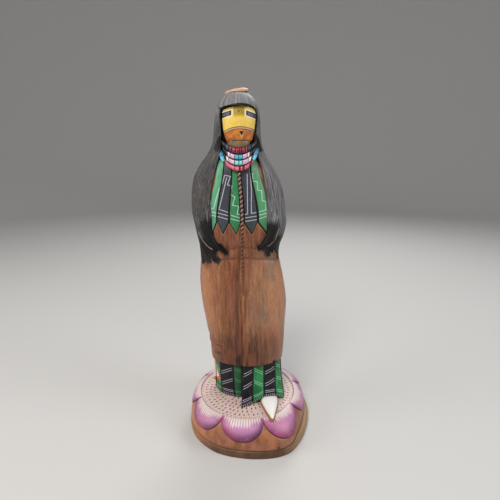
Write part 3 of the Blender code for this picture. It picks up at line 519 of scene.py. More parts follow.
def mound_shell(surface):
    """The flower mound: wooden foot and wall, eight raised petals, and the crowned disc."""
    foot = PLATE_THICKNESS + SEAT_GAP
    shoulder = foot + MOUND_FOOT
    rim_height = GROUND - DISC_CROWN
    middle = outline_middle()
    columns = []
    for start, end in zip(PETAL_CUSPS, [*PETAL_CUSPS[1:], PETAL_CUSPS[0] + 360]):
        for i in range(FINE_PETAL):
            across = math.sin(math.pi * (i / FINE_PETAL - 0.5))
            angle = math.radians(lerp(start, end, 0.5 + across / 2))
            columns.append((angle, across, mound_reach_from_disc(angle, middle)))

    def point(column, share, raised):
        angle, _, reach = column
        bend = 1 - (1 - share) ** 1.15
        lean = bend * math.pi / 2
        radius = DISC_RADIUS + bend * (reach - DISC_RADIUS)
        z = shoulder + (rim_height - shoulder) * math.sqrt(max(0, 1 - bend * bend))
        x, y, z = round_disc(angle, radius, z)
        raised += 0.0001 * wavy(110 * x, 110 * y, 110 * z)
        x, y, _ = round_disc(angle, radius + raised * math.sin(lean), z)
        return x, y, z + raised * math.cos(lean)

    def disc_point(column, share):
        z = rim_height + DISC_CROWN * (1 - share * share)
        x, y, _ = round_disc(column[0], DISC_RADIUS * share, z)
        return x, y, z - 0.00006 * (1 + wavy(150 * x, 150 * y, 0))

    # Rows as functions of the column: the foot, the wall, the groove round the petals, the petals and the disc
    rows = [lambda c, z=z,
            inset=inset: round_disc(c[0], c[2] - inset * MOUND_FOOT_ROUND, foot + z * MOUND_FOOT)
            for z, inset in ((0, 1), (0.06, 0.55), (0.2, 0.2), (0.45, 0.03), (0.75, 0), (1, 0))]
    rows += [lambda c, share=share: point(c, lerp(1, petal_edge(c[1]) + 0.045, share), 0)
             for share in (0.12, 0.25, 0.38, 0.5, 0.62, 0.74, 0.86)]
    rows += [lambda c, more=more, deep=deep: point(c, petal_edge(c[1]) + more, -deep * PETAL_GROOVE)
             for more, deep in ((0.045, 0), (0.03, 0.5), (0.016, 1.1))]
    slots = [MOUND_WOOD] * len(rows)
    rows += [lambda c, share=share, up=up: point(c, petal_edge(c[1]) * share, PETAL_RAISE * up)
             for share, up in ((1, 0.1), (0.985, 0.75), (0.96, 0.95))]
    rows += [lambda c,
             share=share: point(c, petal_edge(c[1]) * share, PETAL_RAISE * (1 + 0.15 * (1 - c[1] ** 2)))
             for share in np.linspace(0.92, 0.06, 15)]
    rows += [lambda c: point(c, 0.035, 0.2 * PETAL_RAISE), lambda c: point(c, 0.012, -0.2 * PETAL_GROOVE)]
    slots += [PETAL] * (len(rows) - len(slots))
    rows += [lambda c, share=share: disc_point(c, share)
             for share in (0.992, 0.975, 0.94, *np.linspace(0.88, 0.06, 12))]
    slots += [DISC] * (len(rows) - 1 - len(slots))
    rings = [[row(c) for c in columns] for row in rows]
    petal_rim, disc_rim = (1000 * np.array([point(c, k * petal_edge(c[1]), 0) for c in columns])
                           for k in (1, 0))
    edge, run = np.zeros((2, len(rings), len(columns) + 1, 2))
    run[:, :, 0] = np.arange(len(columns) + 1) / FINE_PETAL
    run[:, :-1, 1] = [c[1] for c in columns]
    for r, ring in enumerate(1000 * np.array(rings)):
        gap = np.sqrt(((ring[:, None] - petal_rim[None]) ** 2).sum(-1)).min(axis=1)
        outside = slots[min(r, len(slots) - 1)] == MOUND_WOOD
        edge[r, :-1, 0] = -gap if outside else gap
        edge[r, :-1, 1] = np.sqrt(((ring - disc_rim) ** 2).sum(-1))
    edge[:, -1] = edge[:, 0]
    run[:, -1, 1] = run[:, 0, 1]
    surface.shell(rings, slot=np.array(slots)[:, None], run=run, edge=edge,
                  high=(*DISC_CENTRE, rim_height + DISC_CROWN - 0.00006))


def robe_shell(surface):
    """The striped under-robe, each stripe slightly rounded between carved lines."""
    columns = []
    for i, start in enumerate(ROBE):
        at_seam = i == len(ROBE) - 1
        steps = 4 if at_seam else ROBE_STEPS
        for share in (k / steps for k in range(steps)):
            line = between(start, ROBE[(i + 1) % len(ROBE)], share)
            columns.append((*line, 0 if at_seam else share, i, i + share))

    def at(level, column):
        level, worn = level
        foot_x, foot_y, foot_z, top_x, top_y, share, strip, place = column
        t = 1 - (1 - level) ** ROBE_FLARE_POWER
        x, y, z = lerp(foot_x, top_x, t), lerp(foot_y, top_y, t), lerp(foot_z, ROBE_TOP, level)
        away = math.hypot(x + 3, y - 2)
        bulge = ROBE_STRIP_BULGE * math.sin(math.pi * share) ** 0.6 - worn
        bulge += 0.12 * wavy(0.35 * x, 0.35 * y, 0.12 * z)
        high = level * (ROBE_TOP - foot_z)
        moved = high + ROBE_PHASES[strip] + ROBE_TILTS[strip] * (place - strip - 0.5)
        x, y = x + bulge * (x + 3) / away, y + bulge * (y - 2) / away
        return placed(x, y, z), (place, moved), (place, high)

    levels = [(0, 0.55), (0.004, 0.25), (0.012, 0.08), (0.025, 0)] + [(t, 0)
                                                                      for t in np.linspace(0.045, 1, 26)]
    rings, run, edge = spread(levels, columns, at)
    surface.shell(rings, slot=[ROBE_GREEN if column[6] % 2 else ROBE_BLACK for column in columns],
                  run=closed(run, len(ROBE)), edge=closed(edge, len(ROBE)),
                  low=placed(-3, 2, -ROBE_ROOT), high=placed(-3, 2, ROBE_TOP))


def lower_edge(place):
    """Height of the hanging strips' lower edge at a column place."""
    at = place - FIRST_STRIP
    if not 0 <= at <= len(STRIPS) - 1:
        return NOTCH
    k = min(len(STRIPS) - 2, int(at))
    return lerp(STRIPS[k][2], STRIPS[k + 1][2], at - k)


def dress_out(height, level, place, x, in_front):
    """How far the dress stands out of its plain section here."""
    out = 0
    over = 1 - smooth((height - OVERLAP_FULL) / (OVERLAP_START - OVERLAP_FULL))
    if in_front:
        ridge = max(0, 1 - abs(place - SEAM_PLACES[1]))
        out += 0.6 * SEAM_RAISE * ridge * (1 - over) * (1 - smooth((height - BODICE_TOP) / 6))
        if place >= SEAM_PLACES[1] - 0.01 and height < OVERLAP_START:
            out += OVERLAP_RAISE * over * smooth((24 - x) / 30)
        out -= 0.6 * over * max(0, 1 - abs(place - SEAM_PLACES[0] - 0.6) / 0.8)
        for middle, half, depth in WAIST_CREASES:
            above = height - middle + CREASE_FALL * abs(x + 8.3) + 0.7 * wavy(0.15 * x, 0, middle)
            out -= depth * math.exp(-(above / half) ** 2) + 0.3 * math.exp(-(above
                                                                             / 0.6) ** 2) * (middle < 140)
    if x < FOLD_END_X:
        for middle, half, depth in SKIRT_FOLDS:
            below = (middle - level) / half
            if 0 <= below < 1:
                out -= 1.1 * depth * (1 - below) ** 1.2 * smooth((FOLD_END_X - x) / 6)
    return out


def dress_shell(surface):
    """Skirt, waist and bodice, with stripes proud of the bodice, creases, folds and fine tool marks."""
    counts = [DRESS_SIDE_STEPS] * 3 + [SEAM_STEPS if k in SEAM[:2] else STRIP_STEPS
                                       for k in range(len(STRIPS) - 1)]
    counts += [DRESS_SIDE_STEPS] * 3 + [DRESS_BACK_STEPS] * DRESS_BACK_COLUMNS
    places = [k + i / count for k, count in enumerate(counts) for i in range(count)]
    last = FIRST_STRIP + len(STRIPS) - 1

    def at(row, n):
        place, level, proud = places[n], row[0][n], row[1]
        angles = dress_angles(level) + [2 * math.pi]
        k = int(place)
        angle = lerp(angles[k], angles[k + 1], place - k)
        x, _ = section_point(along(DRESS, level), angle, DRESS_POWER)
        height = level + fold_rise(level, x)
        out = dress_out(height, level, place, x, angle <= math.pi) + proud * STRIP_RAISE
        side = 9
        if FIRST_STRIP <= place <= last:
            on_seam = SEAM_PLACES[0] < place < SEAM_PLACES[2]
            over = place - FIRST_STRIP - (SEAM[2] if place - FIRST_STRIP >= SEAM[2] else 0)
            side = 4.6 * (0.5 if on_seam else abs(over - 2 * round(over / 2)))
            if not on_seam:
                out -= 0.75 * proud * math.exp(-(side / 0.5) ** 2)
        if height < 150:
            out += 0.1 * wavy(0.55 * x, 0, 0.22 * height) + 0.05 * wavy(1.3 * x, 1, 0.5 * height)
        x, y = section_point(along(DRESS, height), angle, DRESS_POWER, out)
        return placed(x, y, height), (place, height), (side, level - lower_edge(place))

    edges = [lower_edge(place) for place in places]
    skirt = [*np.linspace(HEM, 43.8, 8), *np.linspace(44.6, 60, 26), *np.linspace(61.6, 129, 40)]
    waist = [WAIST_RING - drop for drop in np.linspace(16.6, 0, 20)]
    rows = [([height] * len(places), 0) for height in skirt + waist]
    rows += [([lerp(WAIST_RING, e, t) for e in edges], 0) for t in (0.25, 0.5, 0.75, 0.92)]
    rows.append(([e - 0.3 for e in edges], 0))
    painted = len(rows) - 1
    rows += [([e - 0.05 for e in edges], 0.7), ([e + 0.3 for e in edges], 1)]
    rows += [([lerp(e, BODICE_TOP, share) for e in edges], 1) for share in np.linspace(0.03, 1, 24)]
    rows += [([height] * len(places), 0) for height in (217, 221, 227, DRESS_TOP)]
    rings, run, edge = spread(rows, range(len(places)), at)
    slot = np.zeros((len(rows) - 1, len(places)), int)
    paint = np.ones((len(rows) - 1, len(places), 3))
    for c, place in enumerate(places):
        if FIRST_STRIP <= place < last:
            slot[painted:, c] = BODICE
            paint[painted:, c] = STRIP_COLOURS[int(place - FIRST_STRIP)]
    surface.shell(rings, slot=slot, paint=paint, run=closed(run, len(dress_angles(NOTCH))), edge=closed(edge),
                  low=placed(-4.6, 2, HEM), high=placed(-12, -1, DRESS_TOP))


def cord_shell(surface):
    """The twisted cord that closes the dress in front, from the neck down to the overlap."""

    def at(height, k):
        row = along(DRESS, height)
        rise = smooth((height - NOTCH) / (BODICE_TOP - NOTCH))
        angle = front_angle(row, lerp(*STRIPS[SEAM[1]][:2], rise), DRESS_POWER)
        proud = STRIP_RAISE * smooth((height - NOTCH + 4) / 4)
        over = 1 - smooth((height - OVERLAP_FULL) / (OVERLAP_START + 4 - OVERLAP_FULL))
        x, y = section_point(row, angle, DRESS_POWER, CORD_OUT + proud - 0.5 * over)
        turn, spin = -math.pi * height / CORD_PITCH, 2 * math.pi * k / CORD_SIDES
        upper, faded = smooth((height - 150) / 16), 1 - smooth((height - 112) / 18)
        reach = lerp(*CORD_RADIUS, upper) * (1 + 0.2 * math.cos(2 * (spin - turn))) * lerp(1, 0.7, over)
        tone = between(CORD_BROWN, CORD_CREAM, upper)
        if math.cos(spin + math.pi / CORD_SIDES - turn) > -0.3:
            tone = between(between(CORD_SHADE, CORD_BLACK, upper), CORD_BROWN, 0.75 * faded)
        return placed(x + reach * math.cos(spin), y - 0.8 * reach * math.sin(spin), height), tone

    rings, paint = spread(np.arange(OVERLAP_FULL + 6, 212, CORD_PITCH / 6), range(CORD_SIDES), at)
    surface.shell(rings, paint=paint[:-1])


def hair_shell(surface):
    """The hair: strands carved side by side from the crown to pointed ends, open at the face and bodice."""
    count = 3 * STRANDS + 1
    front = 3 * FRINGE_STRANDS
    strand_lift = rng.uniform(-0.1, 0.14, STRANDS + 2)
    strand_end = rng.uniform(-1.3, 1.6, STRANDS + 2)
    fringe_lift = rng.uniform(-0.08, 0.1, FRINGE_STRANDS + 2)
    fringe_end = rng.uniform(-0.25, 0.35, FRINGE_STRANDS + 2)

    def opening(height, fringe):
        """Angles of the opening's edges. The crown's rows share the fringe's, so its strands run straight."""
        row = along(HAIR, BANGS if fringe else height)
        return [front_angle(row, x, HAIR_POWER) for x in along(HAIR_EDGES, height)]

    def ring_of(heights, fringe, thin, groove):
        ring = []
        for i, height in enumerate(heights):
            row = along(HAIR, height)
            left, right = opening(height, fringe)
            share, strand = i / (count - 1), i // 3
            drift = 0.004 * wavy(14 * share, 0.03 * height, 0, 1) * (0 < i < count - 1)
            angle = lerp(left, right - 2 * math.pi, share + drift)
            near = min(share, 1 - share) * (HAIR_COLUMNS - 1)
            out = 0 if fringe else -HAIR_EDGE_ROUND * max(0, 1 - near / 2) ** 1.2
            out += strand_lift[strand] + 0.12 * wavy(2.1 * strand, 0.06 * height, 0, 2)
            if i % 3 == 0:
                out -= groove * (0.75 + 0.5 * wavy(3.7 * strand, 0.1 * height, 0, 3))
            x, y = section_point(row, angle, HAIR_POWER, out * (1 if height < 262 else 0.5))
            ring.append((lerp(row[0], x, thin), lerp(row[2], y, thin), height))
        height = max(heights[0], heights[-1]) - (HAIR_ROOT if thin < 0.9 else 0)
        row = along(HAIR, height)
        left, right = opening(height, fringe)
        left_x, right_x = along(HAIR_EDGES, height)
        for i in range(1, front + 1):
            share, strand, level = i / (front + 1), i // 3, height
            if fringe:
                out = fringe_lift[strand] - (groove * 1.1 if i % 3 == 0 else 0)
                out *= 1 if height < 262 else 0.5
                x, y = section_point(row, lerp(right, left, share), HAIR_POWER, out)
                if height == BANGS:
                    level -= BANGS_SAG * (abs(share - 0.5) * 2) ** 2 + fringe_end[strand]
            else:
                low = 1 - smooth((height - HAIR_ARMS[0]) / (HAIR_ARMS[1] - HAIR_ARMS[0]))
                x = lerp(right_x - HAIR_ARM_SLOPE * low, left_x + HAIR_ARM_SLOPE * low, share)
                y = row[2] - lerp(*HAIR_OPENING_DEPTH, low) * row[3]
                x, y = lerp(row[0], x, thin), lerp(row[2], y, thin)
            ring.append((x, y, level))
        return ring

    rings = [ring_of([height] * count, True, 1, 0.16 + 0.1 * smooth((266 - height) / 6))
             for height in (267.2, 266.2, 264.9, 263.4, 261.6, 259.6, 257.8, 256.4, 255.4, BANGS)]
    rings += [ring_of([lerp(BANGS - FRINGE_THICKNESS, ELBOW, share)] * count, False, 1, 0.3)
              for share in np.linspace(0, 1, 30)]
    ends = [broken_line(HAIR_ENDS, i / (count - 1)) - strand_end[i // 3] + (0.9 if i % 3 == 0 else 0)
            for i in range(count)]
    for level in np.linspace(0, 1, 17)[1:]:
        heights = [lerp(ELBOW, end, level) for end in ends]
        rings.append(ring_of(heights, False, lerp(1, HAIR_TIP_THIN, level ** 6), lerp(0.3, 0.45, level)))
    rings.append(ring_of([h + 0.4 for h in heights], False, 0.8, 0.3))
    rings.reverse()
    run = [[(i / 3, height) for i, (_, _, height) in enumerate(ring)] for ring in rings]
    surface.shell([[placed(*p) for p in ring] for ring in rings], slot=HAIR_SLOT,
                  run=closed(run, STRANDS + FRINGE_STRANDS + 0.33), low=placed(-10.5, 1,
                                                                               134), high=placed(*CROWN))


def lock_shell(surface, stations, seed):
    """A pointed lock laid on the hair, with its own strands."""
    across = 3 * LOCK_STRANDS + 1
    columns = [(i, True) for i in range(across)] + [(i, False) for i in range(across)][::-1]

    def at(n, column):
        i, outside = column
        t = n / (LOCK_ROWS - 1)
        spot = t * (len(stations) - 1)
        k = min(len(stations) - 2, int(spot))
        height = lerp(stations[k][0], stations[k + 1][0], spot - k)
        row = along(HAIR, height)
        share, body = i / (across - 1), smooth(t * 1.7)
        crown = math.sqrt(max(0, 1 - (2 * share - 1) ** 2))
        lift = lerp(LOCK_SUNK, LOCK_RAISE * lerp(1, 0.7, t), body) + 1.2 * (crown - 1)
        lift += 0.08 * wavy(1.9 * (i // 3), 0.06 * height, 0, seed)
        if i % 3 == 0:
            lift -= 0.26 * body
        angle = lerp(*(front_angle(row, x, HAIR_POWER) for x in along(stations[::-1], height)), share)
        x, y = section_point(row, angle, HAIR_POWER, lift if outside else LOCK_SUNK - 5)
        return placed(x, y, height), (seed * 40 + i / 3, height)

    rings, run = spread(range(LOCK_ROWS), columns, at)
    low, high = (np.mean([ring[across // 2], ring[across + across // 2]], axis=0)
                 for ring in (rings[0], rings[-1]))
    surface.shell(rings, slot=HAIR_SLOT, run=closed(run), low=low, high=high)


def mask_shell(surface):
    """The case mask, smooth, with a rounded chin under the jaw line."""
    chin = MASK_CHIN - CHIN_DROP
    heights = [lerp(chin, MASK_JAW, t)
               for t in (0, 0.04, 0.1, 0.18, 0.28, 0.4, 0.52, 0.64, 0.76, 0.87, 0.94, 0.98)]
    heights += [MASK_JAW + 0.1, MASK_JAW + 0.3, *np.linspace(MASK_JAW + 0.7, MASK_TOP, 38)]
    jaw = along(MASK, MASK_JAW)

    def at(height, i):
        row = along(MASK, height)
        if height < MASK_JAW:
            low = 1 - (height - chin) / (MASK_JAW - chin)
            full = math.sqrt(max(0.02, 1 - low ** 2.3))
            row = (jaw[0], jaw[1] * full - 0.25, jaw[2] - 2 * low, jaw[3] * lerp(full, 1, 0.55) - 0.25,
                   jaw[4] * full)
        angle = 2 * math.pi * i / MASK_FINE
        x, y = section_point(row, angle, MASK_POWER)
        arch = 1.6 * ((x - jaw[0]) / jaw[1]) ** 2 if angle < math.pi else 0
        return [placed(x, y, height - arch)]

    surface.shell(spread(heights, range(MASK_FINE), at)[0], slot=MASK_SLOT)


def necklace_place(turn, down):
    """A point of the necklace: turn runs -1 to 1 along it, down 0 to 1 from the chin to its lower edge."""
    row = min(len(NECKLACE) - 2, int(down * (len(NECKLACE) - 1)))
    low, radius, half_turn = between(NECKLACE[row], NECKLACE[row + 1], down * (len(NECKLACE) - 1) - row)
    angle = math.radians(half_turn) * turn
    y = lerp(*NECKLACE_FRONT, down) + NECKLACE_SIDE_DROP * turn * turn
    return NECKLACE_MIDDLE_X + radius * math.sin(angle), y, low + radius * (1 - math.cos(angle))


def necklace_shells(surface):
    """Four rows of flat beads, each bead rounded and parted from the next by a cut."""
    section = BEAD_PROFILE + [(down, None) for down in (0.92, 0.5, 0.08)]
    for row, beads in enumerate(BEADS):
        radius, half_turn = ((NECKLACE[row][n] + NECKLACE[row + 1][n]) / 2 for n in (1, 2))
        half_turn = math.radians(half_turn)
        cut = 0.22 / (radius * half_turn)
        first, spots = -1, []
        for n, (end, tone) in enumerate(beads):
            second = 1
            if n < len(beads) - 1:
                second = math.asin(max(-1, min(1, (end - NECKLACE_MIDDLE_X) / radius))) / half_turn
            steps = max(2, int((second - first) * radius * half_turn / 0.8))
            spots += [(first, -0.4, BEAD_CUT), (first + 0.6 * cut, -0.4, tone), (first + cut, 0.55, tone)]
            spots += [(t, 1, tone) for t in np.linspace(first + 2.2 * cut, second - 2.2 * cut, steps + 1)]
            spots += [(second - cut, 0.55, tone), (second - 0.6 * cut, -0.4, BEAD_CUT)]
            first = second

        def at(spot, c):
            turn, lift, tone = spot
            down, rise = section[c]
            down = down if row else lerp(FIRST_ROW_TOP, 1, down)
            x, y, height = necklace_place(turn if c < len(BEAD_PROFILE) else 0.97 * turn, (row + down)
                                          / (len(NECKLACE) - 1))
            if rise is None:
                y += NECKLACE_ROOT
            else:
                y = y - BEAD_RAISE * min(rise, lift) - 0.25 * min(rise, lift) ** 3
            return placed(x, y, height), tone if 0 < c < len(BEAD_PROFILE) - 2 else BEAD_CUT

        rings, paint = spread(spots, range(len(section)), at)
        surface.shell(rings, paint=paint[:-1])


def block_shell(surface, upper_x, upper_height, lower_x, lower_height, half):
    """A flat stone at the end of the necklace, in three inlaid parts."""
    section = [(-1, 0.6), (-0.85, 0.15), (-0.5, 0), (0, -0.1), (0.5, 0), (0.85, 0.15), (1, 0.6),
               (1, NECKLACE_ROOT), (-1, NECKLACE_ROOT)]

    def at(level, spot):
        side, back = spot
        x, height = lerp(lower_x, upper_x, level), lerp(lower_height, upper_height, level)
        wide = half * broken_line([(0, 0.35), (0.14, 0.8), (0.6, 1), (0.92, 1), (1, 0.8)], level)
        lift = broken_line([(0, 0), (0.1, 0.5), (0.6, 0.6), (0.92, 0.5), (1, 0)], level)
        y = lerp(SIDE_BLOCK_Y[1], SIDE_BLOCK_Y[0], level) - lift
        cut = min(abs(level - 0.45), abs(level - 0.78)) < 0.03
        tone = BLOCK_CUT if cut else BLOCK_TONES[int(level >= 0.45) + int(level >= 0.78)]
        return placed(x + side * wide, y + back + (0.3 if cut and abs(side) < 1 else 0), height), tone

    rings, paint = spread(np.linspace(0, 1, 25), section, at)
    surface.shell(rings, paint=paint[:-1])


def tie_shell(surface):
    """The bent wooden tie across the crown, paler on top, with a painted shadow band along its lower side."""
    steps, sides = 44, 36

    def at(i, k):
        share = math.sin(math.pi * (i / steps - 0.5))
        full = math.sqrt(max(0, 1 - (abs(share) * 0.995) ** 2.6))
        thick = TIE_HALF_THICKNESS * math.sqrt(1 - (0.98 * abs(share)) ** 7) * lerp(0.9, 1.1, i / steps)
        x, z = share * TIE_HALF_LENGTH, -TIE_DROOP * share * share
        spin = 2 * math.pi * k / sides
        depth = TIE_HALF_DEPTH * full * math.cos(spin)
        lift = thick * math.copysign(abs(math.sin(spin)) ** 0.75, math.sin(spin))
        bend = -0.8 * (depth / TIE_HALF_DEPTH) ** 2
        lift += 0.1 * wavy(0.5 * x, 0.5 * depth, 0, 5)
        across = x * math.cos(TIE_TILT) - (z + lift + bend) * math.sin(TIE_TILT)
        up = x * math.sin(TIE_TILT) + (z + lift + bend) * math.cos(TIE_TILT)
        height = math.sin(spin + math.pi / sides)
        # the tie's tone by facing: pale on top, a painted shadow band on the lower side, brown underneath
        tone = TIE_TOP if height > -0.42 else TIE_SHADOW_BAND if height > -0.86 else TIE_UNDER
        return placed(TIE_MIDDLE[0] + across, TIE_MIDDLE[1] + depth, TIE_MIDDLE[2] + up), tone

    rings, paint = spread(range(steps + 1), range(sides), at)
    surface.shell(rings, paint=paint[:-1])


def shoe_shell(surface):
    """The pointed white shoe with its brown sole."""
    rings = []
    for far in np.linspace(SHOE[0][0], SHOE[-1][0], 40):
        half, top = along(SHOE, far)
        walls = [[(half + margin - 0.2, -SHOE_ROOT), (half + margin, 0.3), (half + margin, 0.6 * SHOE_SOLE),
                  (half + margin - 0.12, 0.85 * SHOE_SOLE), (half + margin - 0.3, SHOE_SOLE), (half + 0.1,
                                                                                               SHOE_SOLE),
                  (half, SHOE_SOLE - 0.15)] for margin in SHOE_SOLE_MARGINS]
        outline = [(-side, z) for side, z in walls[0]]
        for spin in (math.pi * k / SHOE_FINE for k in range(1, SHOE_FINE)):
            outline.append((-half * math.cos(spin), SHOE_SOLE + max(0, top - SHOE_SOLE)
                            * math.sin(spin) ** 0.8))
        c, s = math.cos(SHOE_TURN), math.sin(SHOE_TURN)
        rings.append([placed(SHOE_HEEL[0] + side * c + far * s, SHOE_HEEL[1] + side * s - far * c, z)
                      for side, z in outline + walls[1][::-1]])
    sole = len(walls[0])
    tones = [SHOE_BROWN] * (sole - 1) + [SHOE_WHITE] * SHOE_FINE + [SHOE_BROWN] * sole
    tones[sole - 2] = tones[sole + SHOE_FINE - 1] = SHOE_LINE
    surface.shell(rings, paint=[tones] * (len(rings) - 1))


def sash_shell(surface):
    """The woven sash end at the figure's right side."""
    section = [(-1, -0.6), (-0.9, -1), *((s, -1) for s in np.linspace(-0.7, 0.7, 8)), (0.9, -1), (1, -0.6)]
    section += [(1, 0.6), (0, 1), (-1, 0.6)]

    def at(level, spot):
        side, thick = spot
        x, y, z = between(SASH_FOOT, SASH_TOP, level)
        drop = SASH_POINT * (1 - abs(side)) * (1 - level)
        rib = 0.08 * math.cos(2 * math.pi * 2.2 * side)
        place = placed(x + (thick + rib) * SASH_HALF_THICKNESS, y + side * SASH_HALF_WIDTH, z - drop)
        return place, (side, level * (SASH_TOP[2] - SASH_FOOT[2]))

    rings, run = spread(np.linspace(0, 1, 40), section, at)
    surface.shell(rings, slot=SASH, run=closed(run))


# Paint
GREEN = colour(96, 172, 130)
MIDDLE_GREEN = colour(52, 138, 84)
RIGHT_GREEN = colour(74, 150, 98)
BLACK = colour(60, 60, 73)
STRIP_COLOURS = [GREEN, GREEN, BLACK, BLACK, MIDDLE_GREEN, MIDDLE_GREEN] + 4 * [BLACK] + 2 * [RIGHT_GREEN]
CORD_BROWN = colour(128, 80, 54)
CORD_SHADE = colour(34, 18, 14)
CORD_CREAM = colour(160, 122, 100)
CORD_BLACK = colour(26, 22, 24)
MAROON = colour(122, 38, 62)
RED = colour(160, 50, 62)
# Teal of the first row's end beads, darkened as painted shade beside the hair
SHADED_TEAL = colour(22, 60, 72)
WHITE_BEAD = colour(238, 218, 214)
LAVENDER = colour(206, 172, 200)
TEAL = colour(58, 168, 184)
PALE_TEAL = colour(118, 204, 200)
SALMON = colour(208, 96, 112)
DARK_RED = colour(120, 28, 46)
BROWN_BEAD = colour(70, 40, 40)
SHADED_BEAD = colour(14, 14, 18)
BEAD_CUT = colour(40, 22, 38)
# Side block paints from the lower part up; the darker upper tone is painted shade by the hair
BLOCK_TONES = [colour(96, 184, 212), colour(62, 136, 178), colour(48, 96, 116)]
BLOCK_CUT = colour(22, 44, 92)
TIE_TOP = colour(210, 160, 132)
# painted shadow band along the tie's lower side
TIE_SHADOW_BAND = colour(74, 30, 18)
TIE_UNDER = colour(150, 84, 54)
SHOE_WHITE = colour(246, 242, 236)
SHOE_BROWN = colour(160, 112, 80)
SHOE_LINE = colour(84, 52, 38)

# Beads of each row, from the chin down: where each ends, and its paint
BEADS = [
    [(-21.4, SHADED_BEAD), (-18.3, SHADED_TEAL), (-16.2, MAROON), (-13.1, MAROON), (-11.4, RED), (-10.1, RED),
     (-8.5, DARK_RED), (-5.5, MAROON), (-3.9, RED), (-0.9, SHADED_TEAL), (3.7, SHADED_BEAD)],
    [(-21.2, SHADED_BEAD), (-19.4, BROWN_BEAD), (-17.4, WHITE_BEAD), (-13.8, LAVENDER), (-10.7, TEAL),
     (-7.7, TEAL), (-4, LAVENDER), (-2.2, WHITE_BEAD), (-0.4, BROWN_BEAD), (2.9, SHADED_BEAD)],
    [(-20.6, SHADED_BEAD), (-18.4, WHITE_BEAD), (-13.8, LAVENDER), (-10.5, PALE_TEAL), (-7.7, PALE_TEAL),
     (-3.2, LAVENDER), (-0.9, WHITE_BEAD), (2.1, SHADED_BEAD)],
    [(-13.6, SALMON), (-10.2, SALMON), (-9.4, DARK_RED), (-7.5, SALMON), (-6.4, DARK_RED), (-2.2, SALMON),
     (-1, DARK_RED), (1.3, SALMON)],
]
BEAD_PROFILE = [(0.06, -0.4), (0.13, 0.5), (0.25, 0.9), (0.45, 1), (0.62, 1), (0.8, 0.9), (0.92, 0.5),
                (0.985, -0.4)]

# Painted lines of the bodice: runs of x and height
BODICE_LINES = [
    [(-31, 201.6), (-32.1, 193.1), (-33, 192.9), (-33.6, 183.4), (-34, 177.1), (-31.1, 176.9),
     (-26.2, 193.3)],
    [(-34.5, 174.3), (-28, 173.1)],
    [(-34.5, 171.8), (-28.4, 170.6)],
    [(-23.6, 196.8), (-21.8, 203.1), (-17.2, 202.3), (-19.7, 195.8), (-16.1, 194.8), (-17.7, 188.5),
     (-15.5, 187.6)],
    [(-20.2, 201.3), (-26.6, 176.5), (-17.5, 173.8)],
    [(-27.2, 173.5), (-18.2, 171.4)],
    [(-27.6, 170.7), (-18.6, 168.6)],
    [(-15.3, 187.2), (-13.8, 186.6), (-15.7, 179.9), (-11.1, 179.2), (-12.2, 173), (-8.6, 172.4)],
    [(-16.9, 172), (-8.6, 169.6)],
    [(-17, 169.2), (-8.8, 167.1)],
    [(-4.2, 204), (-3.9, 173.1), (-7.5, 172.3)],
    [(-1.6, 204), (-0.9, 191.7), (-1, 173.5), (3.1, 174)],
    [(-7.5, 169.8), (3.4, 171.2)],
    [(-7.5, 167), (3.4, 168.4)],
    [(-1.9, 204.3), (0.2, 204.2), (0.2, 198.5), (3.7, 198.1), (4.1, 191.5), (7.3, 191), (7.7, 183),
     (10.6, 182.4), (10.8, 176.1)],
    [(3.8, 174.1), (12.4, 176)],
    [(4.1, 171.6), (12.4, 173.1)],
    [(4.5, 168.7), (12.5, 170.7)],
]

# Painted shade on the hair beside the neck, and black parts of the hair where the locks end
NECK_SHADES = [[(-24.6, 230.5), (-28, 223.6)], [(1.6, 232), (6.4, 223.4)]]
LOCK_SHADES = [
    [(-37, 162), (-33.5, 153), (-24, 142)], [(-40, 147), (-31, 134)], [(16, 160), (13.4, 150), (7, 145)],
    [(20, 149), (15, 139)],
]
# Edge of the hair round the face, and the unpainted edges of the front locks: x and height
FACE_EDGE = [
    (-20.6, 227.3), (-22.7, 232.7), (-23.8, 239), (-24.5, 246.1), (-24.2, 250.8), (-22.7, 252.6),
    (-18, 253.9), (-12.3, 254.9), (-8.5, 255.2), (-3.8, 254.8), (0, 253.5), (2.4, 251.7), (3.2, 248.6),
    (2.8, 243), (2.1, 237.1), (0.6, 230), (-1.7, 227.3),
]
LOCK_EDGES = [
    [(-44.8, 156), (-41.5, 149.6), (-37.8, 145.6), (-33, 142.6)],
    [(21.8, 160), (18.6, 150.4), (14.4, 145.6), (9.4, 144)],
]
JAW_LINE = 229.4
# Strokes on the disc: from ring to ring and along a ring
DASH_RING = 4.1
DASH_PITCH = 4
SASH_STRIP = 13
# Dark marks of the skirt, a smear by the seam near the hem, painted shadow along the two folds at the lower
# left, and two patches at the hips: middle, half sizes and strength
SKIRT_STAINS_AND_SHADOWS = [
    ((-12.6, 0, 41.5), (3.4, 1, 8), 0.97), ((-30.5, 0, 45.5), (5, 1, 1.6), 0.7),
    ((-29.5, 0, 53.8), (5, 1, 1.5), 0.55), ((-38, 0, 131), (6, 1, 8), 0.5), ((21, 0, 136), (5, 1, 8), 0.5),
]
# Where the painted hair ends in loose strokes on the wood
LOCK_TIPS = [
    [(-33, 140), (-28.6, 132.6)], [(-26.5, 146), (-22.4, 141)], [(12.5, 143.6), (7, 143.8)],
    [(12.4, 142), (13.4, 137.8)], [(-37.5, 139), (-36.5, 132)],
]
KNOT = (22.2, -54.2, -20.4)
BLACK_RISES = (23.8, 21.6, 12.6, 10.4)
GREEN_RISES = (25.4, 23.4, 13.8, 11.9)
SWEEP_START = 1.5
SWEEP_ROUND = 0.8
SWEEP_TOP = 1.6


class Value:
    """A number, vector or colour in a material. Sums with it add math nodes."""

    def __init__(self, paint, socket):
        self.paint, self.socket = paint, socket

    def __abs__(self):
        return self.paint.math("ABSOLUTE", self)


